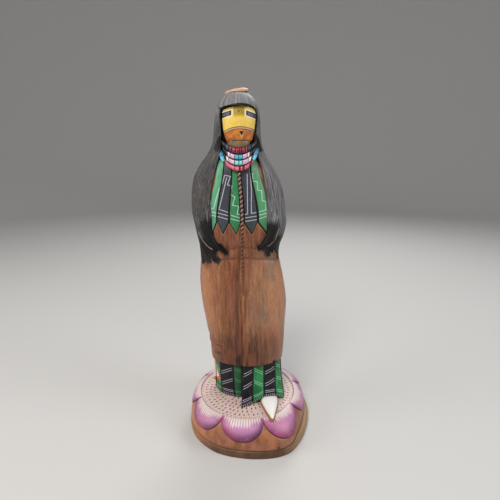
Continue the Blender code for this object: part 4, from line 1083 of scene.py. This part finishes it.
def operator(operation, swapped):
    return lambda value, other: value.paint.math(operation, *((other, value) if swapped else (value, other)))


for sign, operation in (("mul", "MULTIPLY"), ("add", "ADD"), ("sub", "SUBTRACT"), ("truediv", "DIVIDE")):
    setattr(Value, f"__{sign}__", operator(operation, False))
    setattr(Value, f"__r{sign}__", operator(operation, True))


class Paint:
    """One material, the colour laid on it so far, and short ways to add and link its nodes."""

    def __init__(self, name, roughness, specular=0.5):
        self.material = bpy.data.materials.new(name)
        self.material.use_nodes = True
        self.nodes = self.material.node_tree.nodes
        self.shader = self.nodes["Principled BSDF"]
        self.shader.inputs["Roughness"].default_value = roughness
        self.shader.inputs["Specular IOR Level"].default_value = specular
        self.tone = None
        self.place = self.add("TexCoord", output="Object")
        moved = self.vector("SUBTRACT", self.place, (FIGURE_SHIFT, 0, GROUND))
        self.figure = self.vector("SCALE", moved, scale=1 / UNIT)
        self.x, self.y, self.height = self.split(self.figure)

    def put(self, socket, value):
        """Links or sets a socket; a colour is given in screen values."""
        if isinstance(value, Value):
            self.material.node_tree.links.new(value.socket, socket)
        else:
            socket.default_value = (*colour(*value), 1) if socket.type == "RGBA" else value

    def add(self, kind, inputs=(), output=0, **settings):
        """A new node with its settings and inputs, as the value that it puts out, or all of them."""
        node = self.nodes.new("ShaderNode" + kind)
        for name, value in settings.items():
            setattr(node, name, value)
        for key, value in inputs:
            self.put(node.inputs[key], value)
        if output is None:
            return [Value(self, socket) for socket in node.outputs]
        return Value(self, node.outputs[output])

    def math(self, operation, *values, clamp=False):
        return self.add("Math", enumerate(values), operation=operation, use_clamp=clamp)

    def vector(self, operation, *values, scale=None):
        inputs = list(enumerate(values)) + ([] if scale is None else [("Scale", scale)])
        output = "Value" if operation in ("DOT_PRODUCT", "DISTANCE", "LENGTH") else "Vector"
        return self.add("VectorMath", inputs, output, operation=operation)

    def split(self, vector):
        return self.add("SeparateXYZ", [(0, vector)], None)

    def join(self, x, y, z):
        return self.add("CombineXYZ", enumerate((x, y, z)))

    def flat(self):
        """The figure's place without its depth."""
        return self.vector("MULTIPLY", self.figure, (1, 0, 1))

    def step(self, value, low, high):
        """0 at low and 1 at high, smooth between; low may be the greater."""
        inputs = [("Value", value), ("From Min", low), ("From Max", high)]
        return self.add("MapRange", inputs, "Result", interpolation_type="SMOOTHSTEP")

    def within(self, value, low, high, soft):
        return self.step(value, low - soft, low + soft) * self.step(value, high + soft, high - soft)

    def mix(self, share, first, second, blend="MIX"):
        return self.add("Mix", [(0, share), (6, first), (7, second)], 2, data_type="RGBA", blend_type=blend)

    def coat(self, share, second):
        """Lays a colour over the tone where share is 1."""
        self.tone = self.mix(share, self.tone, second)

    def noise(self, vector, scale, detail, rough):
        inputs = [("Vector", vector), ("Scale", scale), ("Detail", detail), ("Roughness", rough)]
        return self.add("TexNoise", inputs)

    def spots(self, stretch, detail, rough):
        """Noise over the figure, with so many spots to a unit each way."""
        return self.noise(self.vector("MULTIPLY", self.figure, stretch), 1, detail, rough)

    def map(self, name):
        return self.split(self.add("UVMap", uv_map=name))

    def painted(self):
        return self.add("VertexColor", output="Color", layer_name="paint")

    def least(self, values):
        """The least of some values, each made in its turn."""
        nearest = None
        for value in values:
            nearest = value if nearest is None else self.math("MINIMUM", nearest, value)
        return nearest

    def line_gap(self, place, runs):
        """Distance to the nearest of some runs of points, in the plane of x and height."""

        def gap(ax, az, bx, bz):
            dx, dz = bx - ax, bz - az
            square = dx * dx + dz * dz
            from_a = self.vector("SUBTRACT", place, (ax, 0, az))
            share = self.math("ADD", self.vector("DOT_PRODUCT", from_a, (dx / square, 0, dz / square)), 0,
                              clamp=True)
            return self.vector("DISTANCE", place,
                               self.vector("MULTIPLY_ADD", share, (dx, 0, dz), (ax, 0, az)))

        return self.least(gap(*a, *b) for run in runs for a, b in zip(run, run[1:]))

    def bands(self, value, middles, half):
        """1 within half of any of the middles."""
        return self.step(self.least(abs(value - middle) for middle in middles), half + 0.12, half - 0.12)

    def finish(self, bump, distance, strength, roughness=None):
        self.put(self.shader.inputs["Base Color"], self.tone)
        if roughness is not None:
            self.put(self.shader.inputs["Roughness"], roughness)
        inputs = [("Height", bump), ("Distance", distance), ("Strength", strength)]
        self.put(self.shader.inputs["Normal"], self.add("Bump", inputs))
        return self.material


def dress_wood():
    """Oiled wood: upright grain, purple and grey-green clouds, fine ripples, darker low and at the waist;
    painted light on the sides, painted shadow by the seam, in the creases and folds.
    """
    p = Paint("dress_wood", 0.4, 0.4)
    x, h = p.x, p.height
    grain = p.spots((0.42, 0.42, 0.045), 5, 0.62)
    fine = p.spots((2.6, 2.6, 0.2), 3, 0.6)
    ripple = p.spots((1.5, 1.5, 1.9), 2, 0.6)
    cloud = p.spots((0.09, 0.09, 0.034), 3, 0.55)
    other = p.noise(p.vector("MULTIPLY", p.vector("ADD", p.figure, (70, 31, 12)), (0.1, 0.1, 0.034)), 1, 3,
                    0.55)
    p.tone = p.mix(p.step(grain, 0.34, 0.66), (112, 64, 40), (176, 118, 78))
    # painted light: the wood lighter towards the sides, as if lit from left and right; the darkening low is
    # weaker there
    side = p.step(abs(x + 8), 13, 30)
    p.coat(side * 0.55, (206, 142, 100))
    belly = p.within(h, 128, 168, 8) * 0.55
    p.coat(belly, p.mix(p.step(grain, 0.4, 0.6), (104, 52, 36), (132, 80, 56)))
    left = p.within(x, -27, -10.6, 3.5) * p.step(h, 142, 120)
    p.coat(left * 0.4, (120, 68, 36))
    # painted shadow left of the seam, cast by the overlapping front of the dress
    seam = p.within(x, -14.6, -11.2, 1.6) * p.step(h, 136, 120)
    p.coat(seam * 0.75, (66, 34, 20))
    p.coat(p.step(cloud, 0.48, 0.64) * 0.5, (136, 76, 62))
    skirt = p.step(h, 140, 128)
    pale = p.step(x, -7, 2) * skirt * p.step(h, 60, 80)
    p.coat(pale * 0.35, (196, 146, 112))
    right = p.step(x, -8, 4) * p.step(other, 0.5, 0.64)
    p.coat(right * 0.5, (120, 112, 96))
    low = p.step(h, 84, 48) * (1 - side * 0.4)
    p.coat(low * 0.8, p.mix(p.step(grain, 0.42, 0.58), (56, 28, 16), (112, 60, 34)))
    p.coat(p.step(fine, 0.6, 0.38) * 0.35, (84, 46, 28))
    dashes = p.step(ripple, 0.56, 0.7) * p.step(h, 62, 90)
    p.coat(dashes * 0.35, (206, 146, 98))
    notches = p.step(ripple, 0.44, 0.32) * p.step(h, 62, 90)
    p.coat(notches * 0.4, (78, 40, 26))
    # dark stains, and painted shadow along the skirt's lower folds
    for middle, half, wide in SKIRT_STAINS_AND_SHADOWS:
        gap = p.vector("LENGTH", p.vector("DIVIDE", p.vector("SUBTRACT", p.flat(), middle), half))
        spot = p.step(gap, 1, 0.35) * p.step(p.y, 0, -4)
        p.coat(spot * (p.step(fine, 0.2, 0.55) * wide), (18, 12, 10))
    # painted shade in the waist creases
    for middle, half, depth in WAIST_CREASES:
        bent = h + abs(x + 8.3) * CREASE_FALL
        near = p.step(abs(bent - middle), half * 0.8, 0.1)
        crease_shade = p.step(p.y, -2, -8) * (p.step(grain, 0.3, 0.6) * depth)
        p.coat(near * crease_shade, (66, 34, 24))
    bristle = p.spots((1.7, 1.7, 0.12), 2, 0.6)
    ragged = (bristle - 0.5) * 9
    tips = p.line_gap(p.flat(), LOCK_TIPS) + ragged
    tips = p.step(tips, 2.9, 2.1) * p.step(p.y, 0, -4)
    p.coat(tips, (16, 13, 13))
    edge = p.map("edge")
    p.coat(p.within(edge[1], -1, 0.3, 0.14), (14, 10, 10))
    p.coat(p.within(edge[1], -1.9, -1.1, 0.2), (176, 120, 84))
    bump = grain * 0.5 + (fine * 0.5 + ripple * 0.7)
    dull = p.step(grain, -0.5, 2) + tips * 0.4
    return p.finish(bump, 0.0003, 0.7, dull)


def bodice_paint():
    p = Paint("bodice_paint", 0.4)
    flat = p.flat()
    p.tone = p.painted()
    cloud = p.spots((0.3, 0.3, 0.1), 3, 0.6)
    p.coat(p.step(cloud, 0.42, 0.7) * 0.35, (36, 58, 50))
    # painted shade: the strips darker towards their lower ends
    p.coat(p.step(p.height, 176, 160) * 0.3, (16, 60, 34))
    fine = p.spots((2.2, 2.2, 0.4), 3, 0.6)
    p.coat(p.step(fine, 0.52, 0.75) * 0.2, (150, 152, 150))
    gap = p.line_gap(flat, BODICE_LINES)
    line = p.step(gap, 0.38, 0.2) * p.step(fine, 0.2, 0.42)
    p.coat(line * 0.92, p.mix(0.62, p.painted(), (238, 236, 246), "SCREEN"))
    p.coat(p.step(p.height, 213, 216), (22, 20, 24))
    edge = p.map("edge")
    sides = p.step(edge[0], 0.95, 0.6)
    points = p.step(edge[1], 1.35, 0.95)
    p.coat(p.math("MAXIMUM", sides, points), (12, 10, 12))
    return p.finish(fine, 0.00015, 0.5)


def hair_paint():
    p = Paint("hair_paint", 0.5, 0.25)
    run = p.map("run")
    flat = p.flat()
    strand = p.math("FRACT", run[0])
    ridge = abs(strand - 0.5)
    fall = run[1] * (p.step(run[0], STRANDS + 0.3, STRANDS) * 0.05)
    streak = p.noise(p.join(run[0] * 0.9, fall, 0), 1, 4, 0.65)
    fine = p.noise(p.join(run[0] * 4.6, run[1] * 0.26, 0), 1, 3, 0.6)
    cloud = p.spots((0.05, 0.05, 0.03), 2, 0.5)
    p.tone = p.mix(p.step(fine, 0.38, 0.64), (38, 37, 38), (104, 103, 104))
    p.coat(p.step(ridge, 0.2, 0.42) * p.step(streak, 0.36, 0.6), (24, 23, 24))
    lit = p.math("MAXIMUM", p.step(p.height, 236, 262), p.step(p.x, -4, 14) * 0.55)
    p.coat(lit * p.step(streak, 0.28, 0.72), (160, 158, 160))
    # painted highlight and wear along the strands' ridges
    ridge_highlight_and_wear = p.step(ridge, 0.24, 0.08) * p.step(streak, 0.46, 0.68)
    p.coat(ridge_highlight_and_wear * 0.55, (176, 172, 172))
    in_front = p.step(p.y, -8, -12)
    low = p.step(p.height, 168, 140) * 0.8
    locks = p.line_gap(flat, LOCK_SHADES) + (streak - 0.5) * 9
    locks = p.step(locks, 9.5, 3.6) * (in_front * 0.96)
    # painted shade beside the neck, laid with the black paint low on the hair and at the locks' ends
    neck = p.step(p.line_gap(flat, NECK_SHADES), 3.3, 1.8) * in_front
    low = p.math("MAXIMUM", p.math("MAXIMUM", low, locks), neck)
    p.coat(low, (12, 11, 12))
    # painted shadow of the tie on the hair below it
    tie_shadow = p.step(p.height, 264.6, 265.6) * p.step(p.y, 4, 0)
    p.coat(tie_shadow * 0.85, (46, 24, 20))
    worn = p.step(cloud, 0.44, 0.6) * p.step(streak, 0.46, 0.6)
    worn = worn * p.step(p.x, 0, -20)
    p.coat(worn * 0.3, (112, 92, 78))
    # black line round the face: black paint and painted shadow in the gap between hair and mask
    face = p.step(p.line_gap(flat, [FACE_EDGE]), 1.15, 0.75) * in_front
    p.coat(face, (8, 8, 9))
    bare = p.step(p.line_gap(flat, LOCK_EDGES), 0.42, 0.24) * in_front
    p.coat(bare * 0.85, (172, 146, 120))
    return p.finish(fine, 0.00022, 0.7)


def mask_paint():
    p = Paint("mask_paint", 0.42)
    x, h = p.x, p.height
    fine = p.spots((0.7, 0.7, 0.5), 3, 0.6)
    cloud = p.spots((0.22, 0.22, 0.22), 2, 0.5)
    yellow = p.mix(p.step(fine, 0.35, 0.7), (240, 206, 96), (228, 188, 78))
    orange = p.mix(p.step(cloud, 0.4, 0.62), (218, 134, 38), (178, 100, 52))

    def arch(top, bend=0.0178, middle=-9):
        off = x - middle
        fall = off * off * bend
        return h - (top - fall)
    upper, lower = arch(239.2), arch(237.6)
    p.tone = p.mix(p.step(lower, 0.05, -0.05), yellow, orange)
    olive = p.within(x, -14.6, -6, 0.8) * p.step(h, 245.6, 248.6)
    p.coat(olive * 0.9, (164, 136, 28))
    scratch = p.within(x, -11, -6.6, 0.8) * p.within(h, 249, 252.4, 0.8)
    p.coat(scratch * p.step(fine, 0.44, 0.6), (84, 76, 30))
    band = p.step(upper, 0.1, -0.1) * p.step(lower, -0.1, 0.1)
    p.coat(band, p.mix(p.step(x, -22, -17), (222, 178, 92), (196, 158, 134)))
    lines = p.math("MAXIMUM", p.bands(upper, (0,), 0.26), p.bands(lower, (0,), 0.24))
    p.coat(lines, (70, 42, 30))
    for inner, slope, side in ((-16.1, 0.217, 1), (-5, -0.27, -1)):
        off = (inner - x) * side
        middle = (x - inner) * slope + 249.35
        level = abs(h - middle)
        around = p.step(off, -1.1, -0.85) * p.step(level, 2.72, 2.45)
        p.coat(around, (240, 226, 196))
        slot = p.step(off, -0.12, 0.12) * p.step(level, 1.95, 1.7)
        p.coat(slot, (14, 14, 16))
        inside = p.step(off, 1.3, 1.9) * p.step(level, 1, 0.7)
        p.coat(inside, p.mix(p.step(fine, 0.4, 0.6), (92, 96, 110), (60, 62, 74)))
    across = abs(x + 8.5)
    tip_half = (h - 231.4) * 0.36
    tip = p.step(across - tip_half, 0.12, -0.12) * p.step(h, 234.4, 234.1)
    p.coat(tip, (246, 200, 140))
    half = (h - 232.6) * 0.52
    mouth = p.step(across - half, 0.12, -0.12) * p.step(h, 236.1, 235.85)
    p.coat(mouth, (20, 10, 8))
    jaw = arch(JAW_LINE, 0.0101, -9.6)
    p.coat(p.step(jaw, 0, -0.1), p.mix(p.step(cloud, 0.42, 0.62), (138, 106, 78), (110, 96, 68)))
    p.coat(p.bands(jaw, (0.1,), 0.35), (40, 24, 16))
    flat = p.flat()
    # painted shadow with black paint at the mask's edges, where it meets the hair
    outside = p.math("MAXIMUM", p.step(x, 2, 2.3), p.step(x, -24, -24.3))
    edge = p.math("MAXIMUM", p.step(p.line_gap(flat, [FACE_EDGE]), 0.95, 0.6), outside)
    p.coat(edge, (10, 8, 8))
    return p.finish(fine, 0.0001, 0.4)


def robe_paint(name, base, shade, line, rises, flats, slope, sash=False):
    """A robe stripe: sloping double lines, two lines near the hem and a hatched hem edge."""
    p = Paint(name, 0.45, 0.25)
    run, edge = p.map("run"), p.map("edge")
    across = p.math("FRACT", run[0]) - 0.5
    fine = p.spots((1.6, 1.6, 0.4), 3, 0.6)
    cloud = p.spots((0.16, 0.16, 0.08), 2, 0.5)
    p.tone = p.mix(p.step(cloud, 0.4, 0.66), base, shade)
    # painted shade on the stripes from 15 on, which lie behind the front panel
    shaded_behind = p.step(run[0], 14.9, 15.05)
    p.coat(shaded_behind * 0.6, (22, 34, 26))
    # painted shade: the stripes darker towards the top, under the skirt's hem
    top = p.step(p.height, 26, 38)
    p.coat(top * 0.45, (14, 18, 16))
    sloping = run[1] - across * slope
    lines = p.math("MAXIMUM", p.bands(sloping, rises, 0.19), p.bands(edge[1], flats, 0.19))
    upper = p.step(edge[1], 3.6, 4)
    inner = p.step(abs(across), 0.42, 0.38)
    lines = lines * upper * (inner * p.step(fine, 0.1, 0.36))
    p.coat(lines * (1 - shaded_behind * 0.5), line)
    slant = run[0] * 6 + edge[1] * 0.2
    marks = p.step(abs(p.math("FRACT", slant) - 0.5), 0.22, 0.12)
    hem = p.step(edge[1], 3.3, 3)
    p.coat(hem * 0.8, (20, 20, 22))
    p.coat(marks * p.step(edge[1], 3, 2.7) * 0.6, line)
    if sash:
        place = run[0] - SASH_STRIP
        low = edge[1] - (place * 5 + 9.5)
        left = 36 - place * 19 - edge[1]
        woven = p.within(place, 0, 1, 0.02) * (p.step(low, 0, 0.3) * p.step(left, 0, 0.3))
        cloth = p.mix(p.step(fine, 0.3, 0.7), (236, 224, 210), (216, 196, 180))
        bars = abs(p.math("FRACT", (low + left) * 0.3) - 0.5)
        cloth = p.mix(p.step(bars, 0.2, 0.1) * p.step(left, 7, 6), cloth, (150, 70, 56))
        cloth = p.mix(p.step(left, 3.6, 3.2) * p.step(low, 14, 13), cloth, (190, 62, 50))
        cloth = p.mix(p.step(low, 2.8, 2.5), cloth, (214, 110, 72))
        cloth = p.mix(p.bands(low, (0.3, 2.7), 0.25), cloth, (120, 40, 30))
        p.coat(woven, cloth)
    sides = p.step(abs(across), 0.43, 0.475)
    p.coat(sides * 0.92, (10, 10, 12))
    return p.finish(fine, 0.00012, 0.5)


def sash_paint():
    p = Paint("sash_paint", 0.5)
    run = p.map("run")
    fine = p.spots((2, 2, 0.8), 3, 0.6)
    p.tone = p.mix(p.step(fine, 0.3, 0.7), (238, 226, 212), (222, 202, 186))
    saw = p.math("PINGPONG", run[1] + 2, 6)
    reach = saw * 0.3 - 1
    red = p.step(run[0] + reach, -0.08, 0.08) * p.step(run[1], 7.6, 8)
    p.coat(red, (206, 88, 70))
    gap = abs(run[0] + reach)
    p.coat(p.step(gap, 0.14, 0.08) * p.step(run[1], 7.6, 8), (60, 120, 80))
    p.coat(p.within(run[1], 4.6, 7.2, 0.15), (226, 120, 78))
    p.coat(p.bands(run[1], (4.4, 7.4), 0.22), (120, 40, 34))
    fringe = p.step(p.math("FRACT", run[0] * 5), 0.5, 0.7) * p.step(run[1], 4, 3.6)
    p.coat(fringe, (84, 130, 92))
    return p.finish(fine, 0.00012, 0.5)


def plain_paint():
    p = Paint("plain_paint", 0.38)
    fine = p.spots((1.4, 1.4, 1), 3, 0.6)
    p.tone = p.mix(p.step(fine, 0.5, 0.8) * 0.35, p.painted(), (120, 92, 76))
    return p.finish(fine, 0.00012, 0.5)


def petal_paint():
    p = Paint("petal_paint", 0.4)
    run, edge = p.map("run"), p.map("edge")
    gap, rim, across = edge[0], edge[1], run[1]
    fine = p.spots((0.8, 0.8, 0.8), 3, 0.6)
    cloud = p.spots((0.05, 0.05, 0.05), 2, 0.5)
    share = rim / (rim + gap)
    middle = p.mix(p.step(cloud, 0.42, 0.6), (186, 124, 168), (196, 126, 162))
    tip = p.mix(p.step(cloud, 0.44, 0.6), (100, 42, 84), (150, 58, 104))
    p.tone = p.mix(p.step(share, 0.05, 0.5), (226, 202, 208), middle)
    p.coat(p.step(share, 0.5, 1), tip)
    # painted shade: the front petals darker towards their foot, which faces down and forward
    foot = p.step(share, 0.6, 0.95) * p.within(p.x, -22, 6, 8)
    p.coat(foot * 0.6, (86, 32, 70))
    p.coat(p.step(fine, 0.5, 0.75) * 0.2, (226, 190, 210))
    ray = across * 8 + p.math("FLOOR", run[0]) * 31
    ticks = abs(p.math("FRACT", ray) - 0.5)
    length = p.noise(p.join(p.math("FLOOR", ray), 0, 0), 7.31, 0, 0.5)
    bow = 1 - across * across * 0.6
    reach = rim - bow * (length * 11 + 1.6)
    inner = p.step(reach, 2.2, -2.6) * p.step(gap, 0.9, 1.9)
    pale = 0.5 + p.step(ticks, 0.12, 0.34) * 0.4
    p.coat(inner * pale, (232, 214, 206))
    dark = p.step(ticks, 0.14, 0.04) * (p.step(reach, 3, 1) * p.step(rim, 0.6, 1.4))
    p.coat(dark * 0.6, (96, 62, 82))
    wide = 0.35 + p.step(abs(across), 1, 0.3) * 0.55
    line = p.step(gap - wide, 0.3, -0.15)
    p.coat(line, (62, 22, 52))
    p.coat(p.step(rim, 0.8, 0.5), (166, 144, 154))
    return p.finish(fine, 0.00012, 0.5)


def disc_paint():
    """Beige pink with rings of short dark strokes that point to the middle."""
    p = Paint("disc_paint", 0.5)
    fine = p.spots((0.9, 0.9, 0.9), 3, 0.6)
    cloud = p.spots((0.06, 0.06, 0.06), 2, 0.5)
    p.tone = p.mix(p.step(fine, 0.3, 0.7), (226, 202, 190), (212, 184, 172))
    p.coat(p.step(cloud, 0.42, 0.62) * 0.6, (224, 190, 198))
    inward = p.vector("SUBTRACT", p.place, (*DISC_CENTRE, 0))
    east, north, _ = p.split(inward)
    out = p.vector("LENGTH", p.vector("MULTIPLY", inward, (1, 1, 0))) * (1 / (UNIT * DASH_RING))
    ring = p.math("FLOOR", out)
    turn = p.math("ARCTAN2", north, east) / (2 * math.pi)
    count = p.math("FLOOR", (ring + 0.5) * (2 * math.pi * DASH_RING / DASH_PITCH))
    place = turn * count + ring * 0.37
    wander = p.noise(p.join(p.math("FLOOR", place), ring, 0), 7.31, 0, 0.5)
    other = p.noise(p.join(p.math("FLOOR", place), ring, 5.5), 6.17, 0, 0.5)
    aside = p.math("FRACT", place) - (wander * 0.5 + 0.25)
    deep = p.math("FRACT", out) - (other * 0.4 + 0.3)
    aside, deep = aside * DASH_PITCH, deep * DASH_RING
    lean = aside + deep * 0.12
    half = p.step(deep, -1.7, 0.3) * 0.52
    marks = p.step(abs(lean) - half, 0.12, -0.12) * p.step(abs(deep), 1.6, 1.3)
    edge = p.map("edge")
    marks = marks * p.step(edge[1], 1.2, 1.6)
    p.coat(marks * p.step(wander, 0.25, 0.45), (66, 42, 40))
    p.coat(p.step(edge[1], 0.7, 0.45), (150, 126, 138))
    return p.finish(fine - marks * 2, 0.00012, 0.5)


def mound_wood(name="mound_wood", light=(176, 112, 78), dark=(130, 78, 50), knot=True):
    p = Paint(name, 0.4)
    grain = p.spots((0.16, 0.16, 0.09), 4, 0.6)
    fine = p.spots((1.5, 1.5, 0.3), 4, 0.65)
    cloud = p.spots((0.04, 0.04, 0.06), 2, 0.5)
    p.tone = p.mix(p.step(grain, 0.34, 0.66), dark, light)
    p.coat(p.step(cloud, 0.45, 0.62) * 0.5, (170, 110, 92) if knot else dark)
    p.coat(p.step(fine, 0.6, 0.4) * 0.3, dark)
    # painted light: lighter orange on the left side
    p.coat(p.step(p.x, -30, -52) * 0.5, (204, 134, 86))
    if knot:
        spot = p.vector("DISTANCE", p.figure, KNOT)
        p.coat(p.step(spot, 1.6, 0.8), (66, 28, 22))
        edge = p.map("edge")
        p.coat(p.step(edge[0], -0.9, -0.45), (64, 24, 50))
        # painted shade at the mound's foot above the plate, olive towards the right
        foot = p.step(p.height, -19.8, -22.4) * 0.75
        p.coat(foot, p.mix(p.step(p.x, 20, 40), (112, 66, 42), (92, 82, 46)))
    else:
        # painted light on the plate's right side, and painted shadow along its bottom edge
        p.coat(p.step(p.x, 22, 46) * 0.6, (170, 132, 88))
        p.coat(p.step(p.height, -27.2, -30.6) * 0.6, (66, 42, 24))
    return p.finish(grain + fine, 0.00016, 0.5)


def lamp(name, place, aim, size, power, tint):
    data = bpy.data.lights.new(name, "AREA")
    data.shape = "DISK"
    data.size = size
    data.energy = power
    data.color = tint
    obj = bpy.data.objects.new(name, data)
    obj.location = place
    obj.rotation_euler = (Vector(aim) - Vector(place)).to_track_quat("-Z", "Y").to_euler()
    bpy.context.scene.collection.objects.link(obj)


def studio():
    """Pale sweep, soft lamps, pale surroundings and the camera."""
    profile = [(0, 0), (0.4, 0), (SWEEP_START, 0)]
    for turn in np.linspace(0, math.pi / 2, 25)[1:]:
        profile.append((SWEEP_START + SWEEP_ROUND * math.sin(turn), SWEEP_ROUND * (1 - math.cos(turn))))
    profile.append((SWEEP_START + SWEEP_ROUND, SWEEP_TOP))
    points = [(r * math.cos(a), r * math.sin(a), z) for r, z in profile
              for a in np.linspace(0, 2 * math.pi, FLOOR_SIDES + 1)[:-1]]
    rows = np.arange(len(profile) * FLOOR_SIDES).reshape(-1, FLOOR_SIDES)
    turned = np.roll(rows, -1, axis=1)
    faces = np.stack([rows[:-1], turned[:-1], turned[1:], rows[1:]], -1).reshape(-1, 4).tolist()
    mesh = bpy.data.meshes.new("floor")
    mesh.from_pydata(points, [], faces)
    mesh.shade_smooth()
    floor = bpy.data.objects.new("floor", mesh)
    bpy.context.scene.collection.objects.link(floor)
    material = bpy.data.materials.new("floor")
    material.use_nodes = True
    shader = material.node_tree.nodes["Principled BSDF"]
    shader.inputs["Base Color"].default_value = (*colour(*FLOOR_GREY), 1)
    shader.inputs["Roughness"].default_value = 0.75
    mesh.materials.append(material)
    world = bpy.data.worlds.new("surroundings")
    world.use_nodes = True
    world.node_tree.nodes["Background"].inputs[0].default_value = (0.86, 0.88, 0.92, 1)
    world.node_tree.nodes["Background"].inputs[1].default_value = 0.3
    bpy.context.scene.world = world
    lamp("key", (-0.25, -0.6, 0.95), (0, 0, 0.2), 0.4, 6.4, (1, 0.98, 0.95))
    lamp("left", (-0.95, -0.3, 0.55), (0, 0, 0.14), 0.6, 3.6, (1, 0.97, 0.94))
    lamp("right", (0.95, -0.35, 0.6), (0, 0, 0.14), 0.6, 4.6, (0.96, 0.98, 1))
    lamp("back", (0.2, 0.8, 0.8), (0, 0, 0.16), 0.6, 4, (1, 1, 1))
    data = bpy.data.cameras.new("camera")
    data.lens = CAMERA_LENS
    data.sensor_width = CAMERA_SENSOR
    data.clip_start = 0.01
    camera = bpy.data.objects.new("camera", data)
    camera.location = CAMERA_PLACE
    camera.rotation_euler = (math.radians(CAMERA_TILT), 0, 0)
    bpy.context.scene.collection.objects.link(camera)
    bpy.context.scene.camera = camera
    bpy.context.scene.view_settings.view_transform = "Standard"


def main():
    studio()
    carving = Surface()
    mound_shell(carving)
    robe_shell(carving)
    sash_shell(carving)
    shoe_shell(carving)
    dress_shell(carving)
    cord_shell(carving)
    hair_shell(carving)
    lock_shell(carving, LEFT_LOCK, 1)
    lock_shell(carving, RIGHT_LOCK, 2)
    mask_shell(carving)
    necklace_shells(carving)
    for row in SIDE_BLOCKS:
        block_shell(carving, *row)
    tie_shell(carving)
    materials = [
        dress_wood(), bodice_paint(), hair_paint(), mask_paint(),
        # The robe's paints are darkened partly as painted shade under the skirt.
        robe_paint("robe_black", (28, 27, 31), (15, 14, 17), (206, 200, 218), BLACK_RISES, (4.7, 6.3), 5),
        robe_paint("robe_green", (54, 134, 82), (32, 98, 58), (150, 222, 168), GREEN_RISES, (4.7, 6.2),
                   -3.4, sash=True),
        sash_paint(), plain_paint(), petal_paint(), disc_paint(), mound_wood(),
    ]
    carved = carving.build("carving_surface", materials, math.radians(60))
    plate = Surface()
    plate_shell(plate)
    # the plate's paints are darkened partly as painted shade
    plate_material = mound_wood("plate_wood", (120, 80, 45), (80, 50, 28), knot=False)
    flat = plate.build("plate_surface", [plate_material], math.radians(40))
    for obj, node, slot in ((carved, "carving", "carved_wood"), (flat, "base_plate", "plate_wood")):
        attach(obj, "root")
        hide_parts(node)


main()
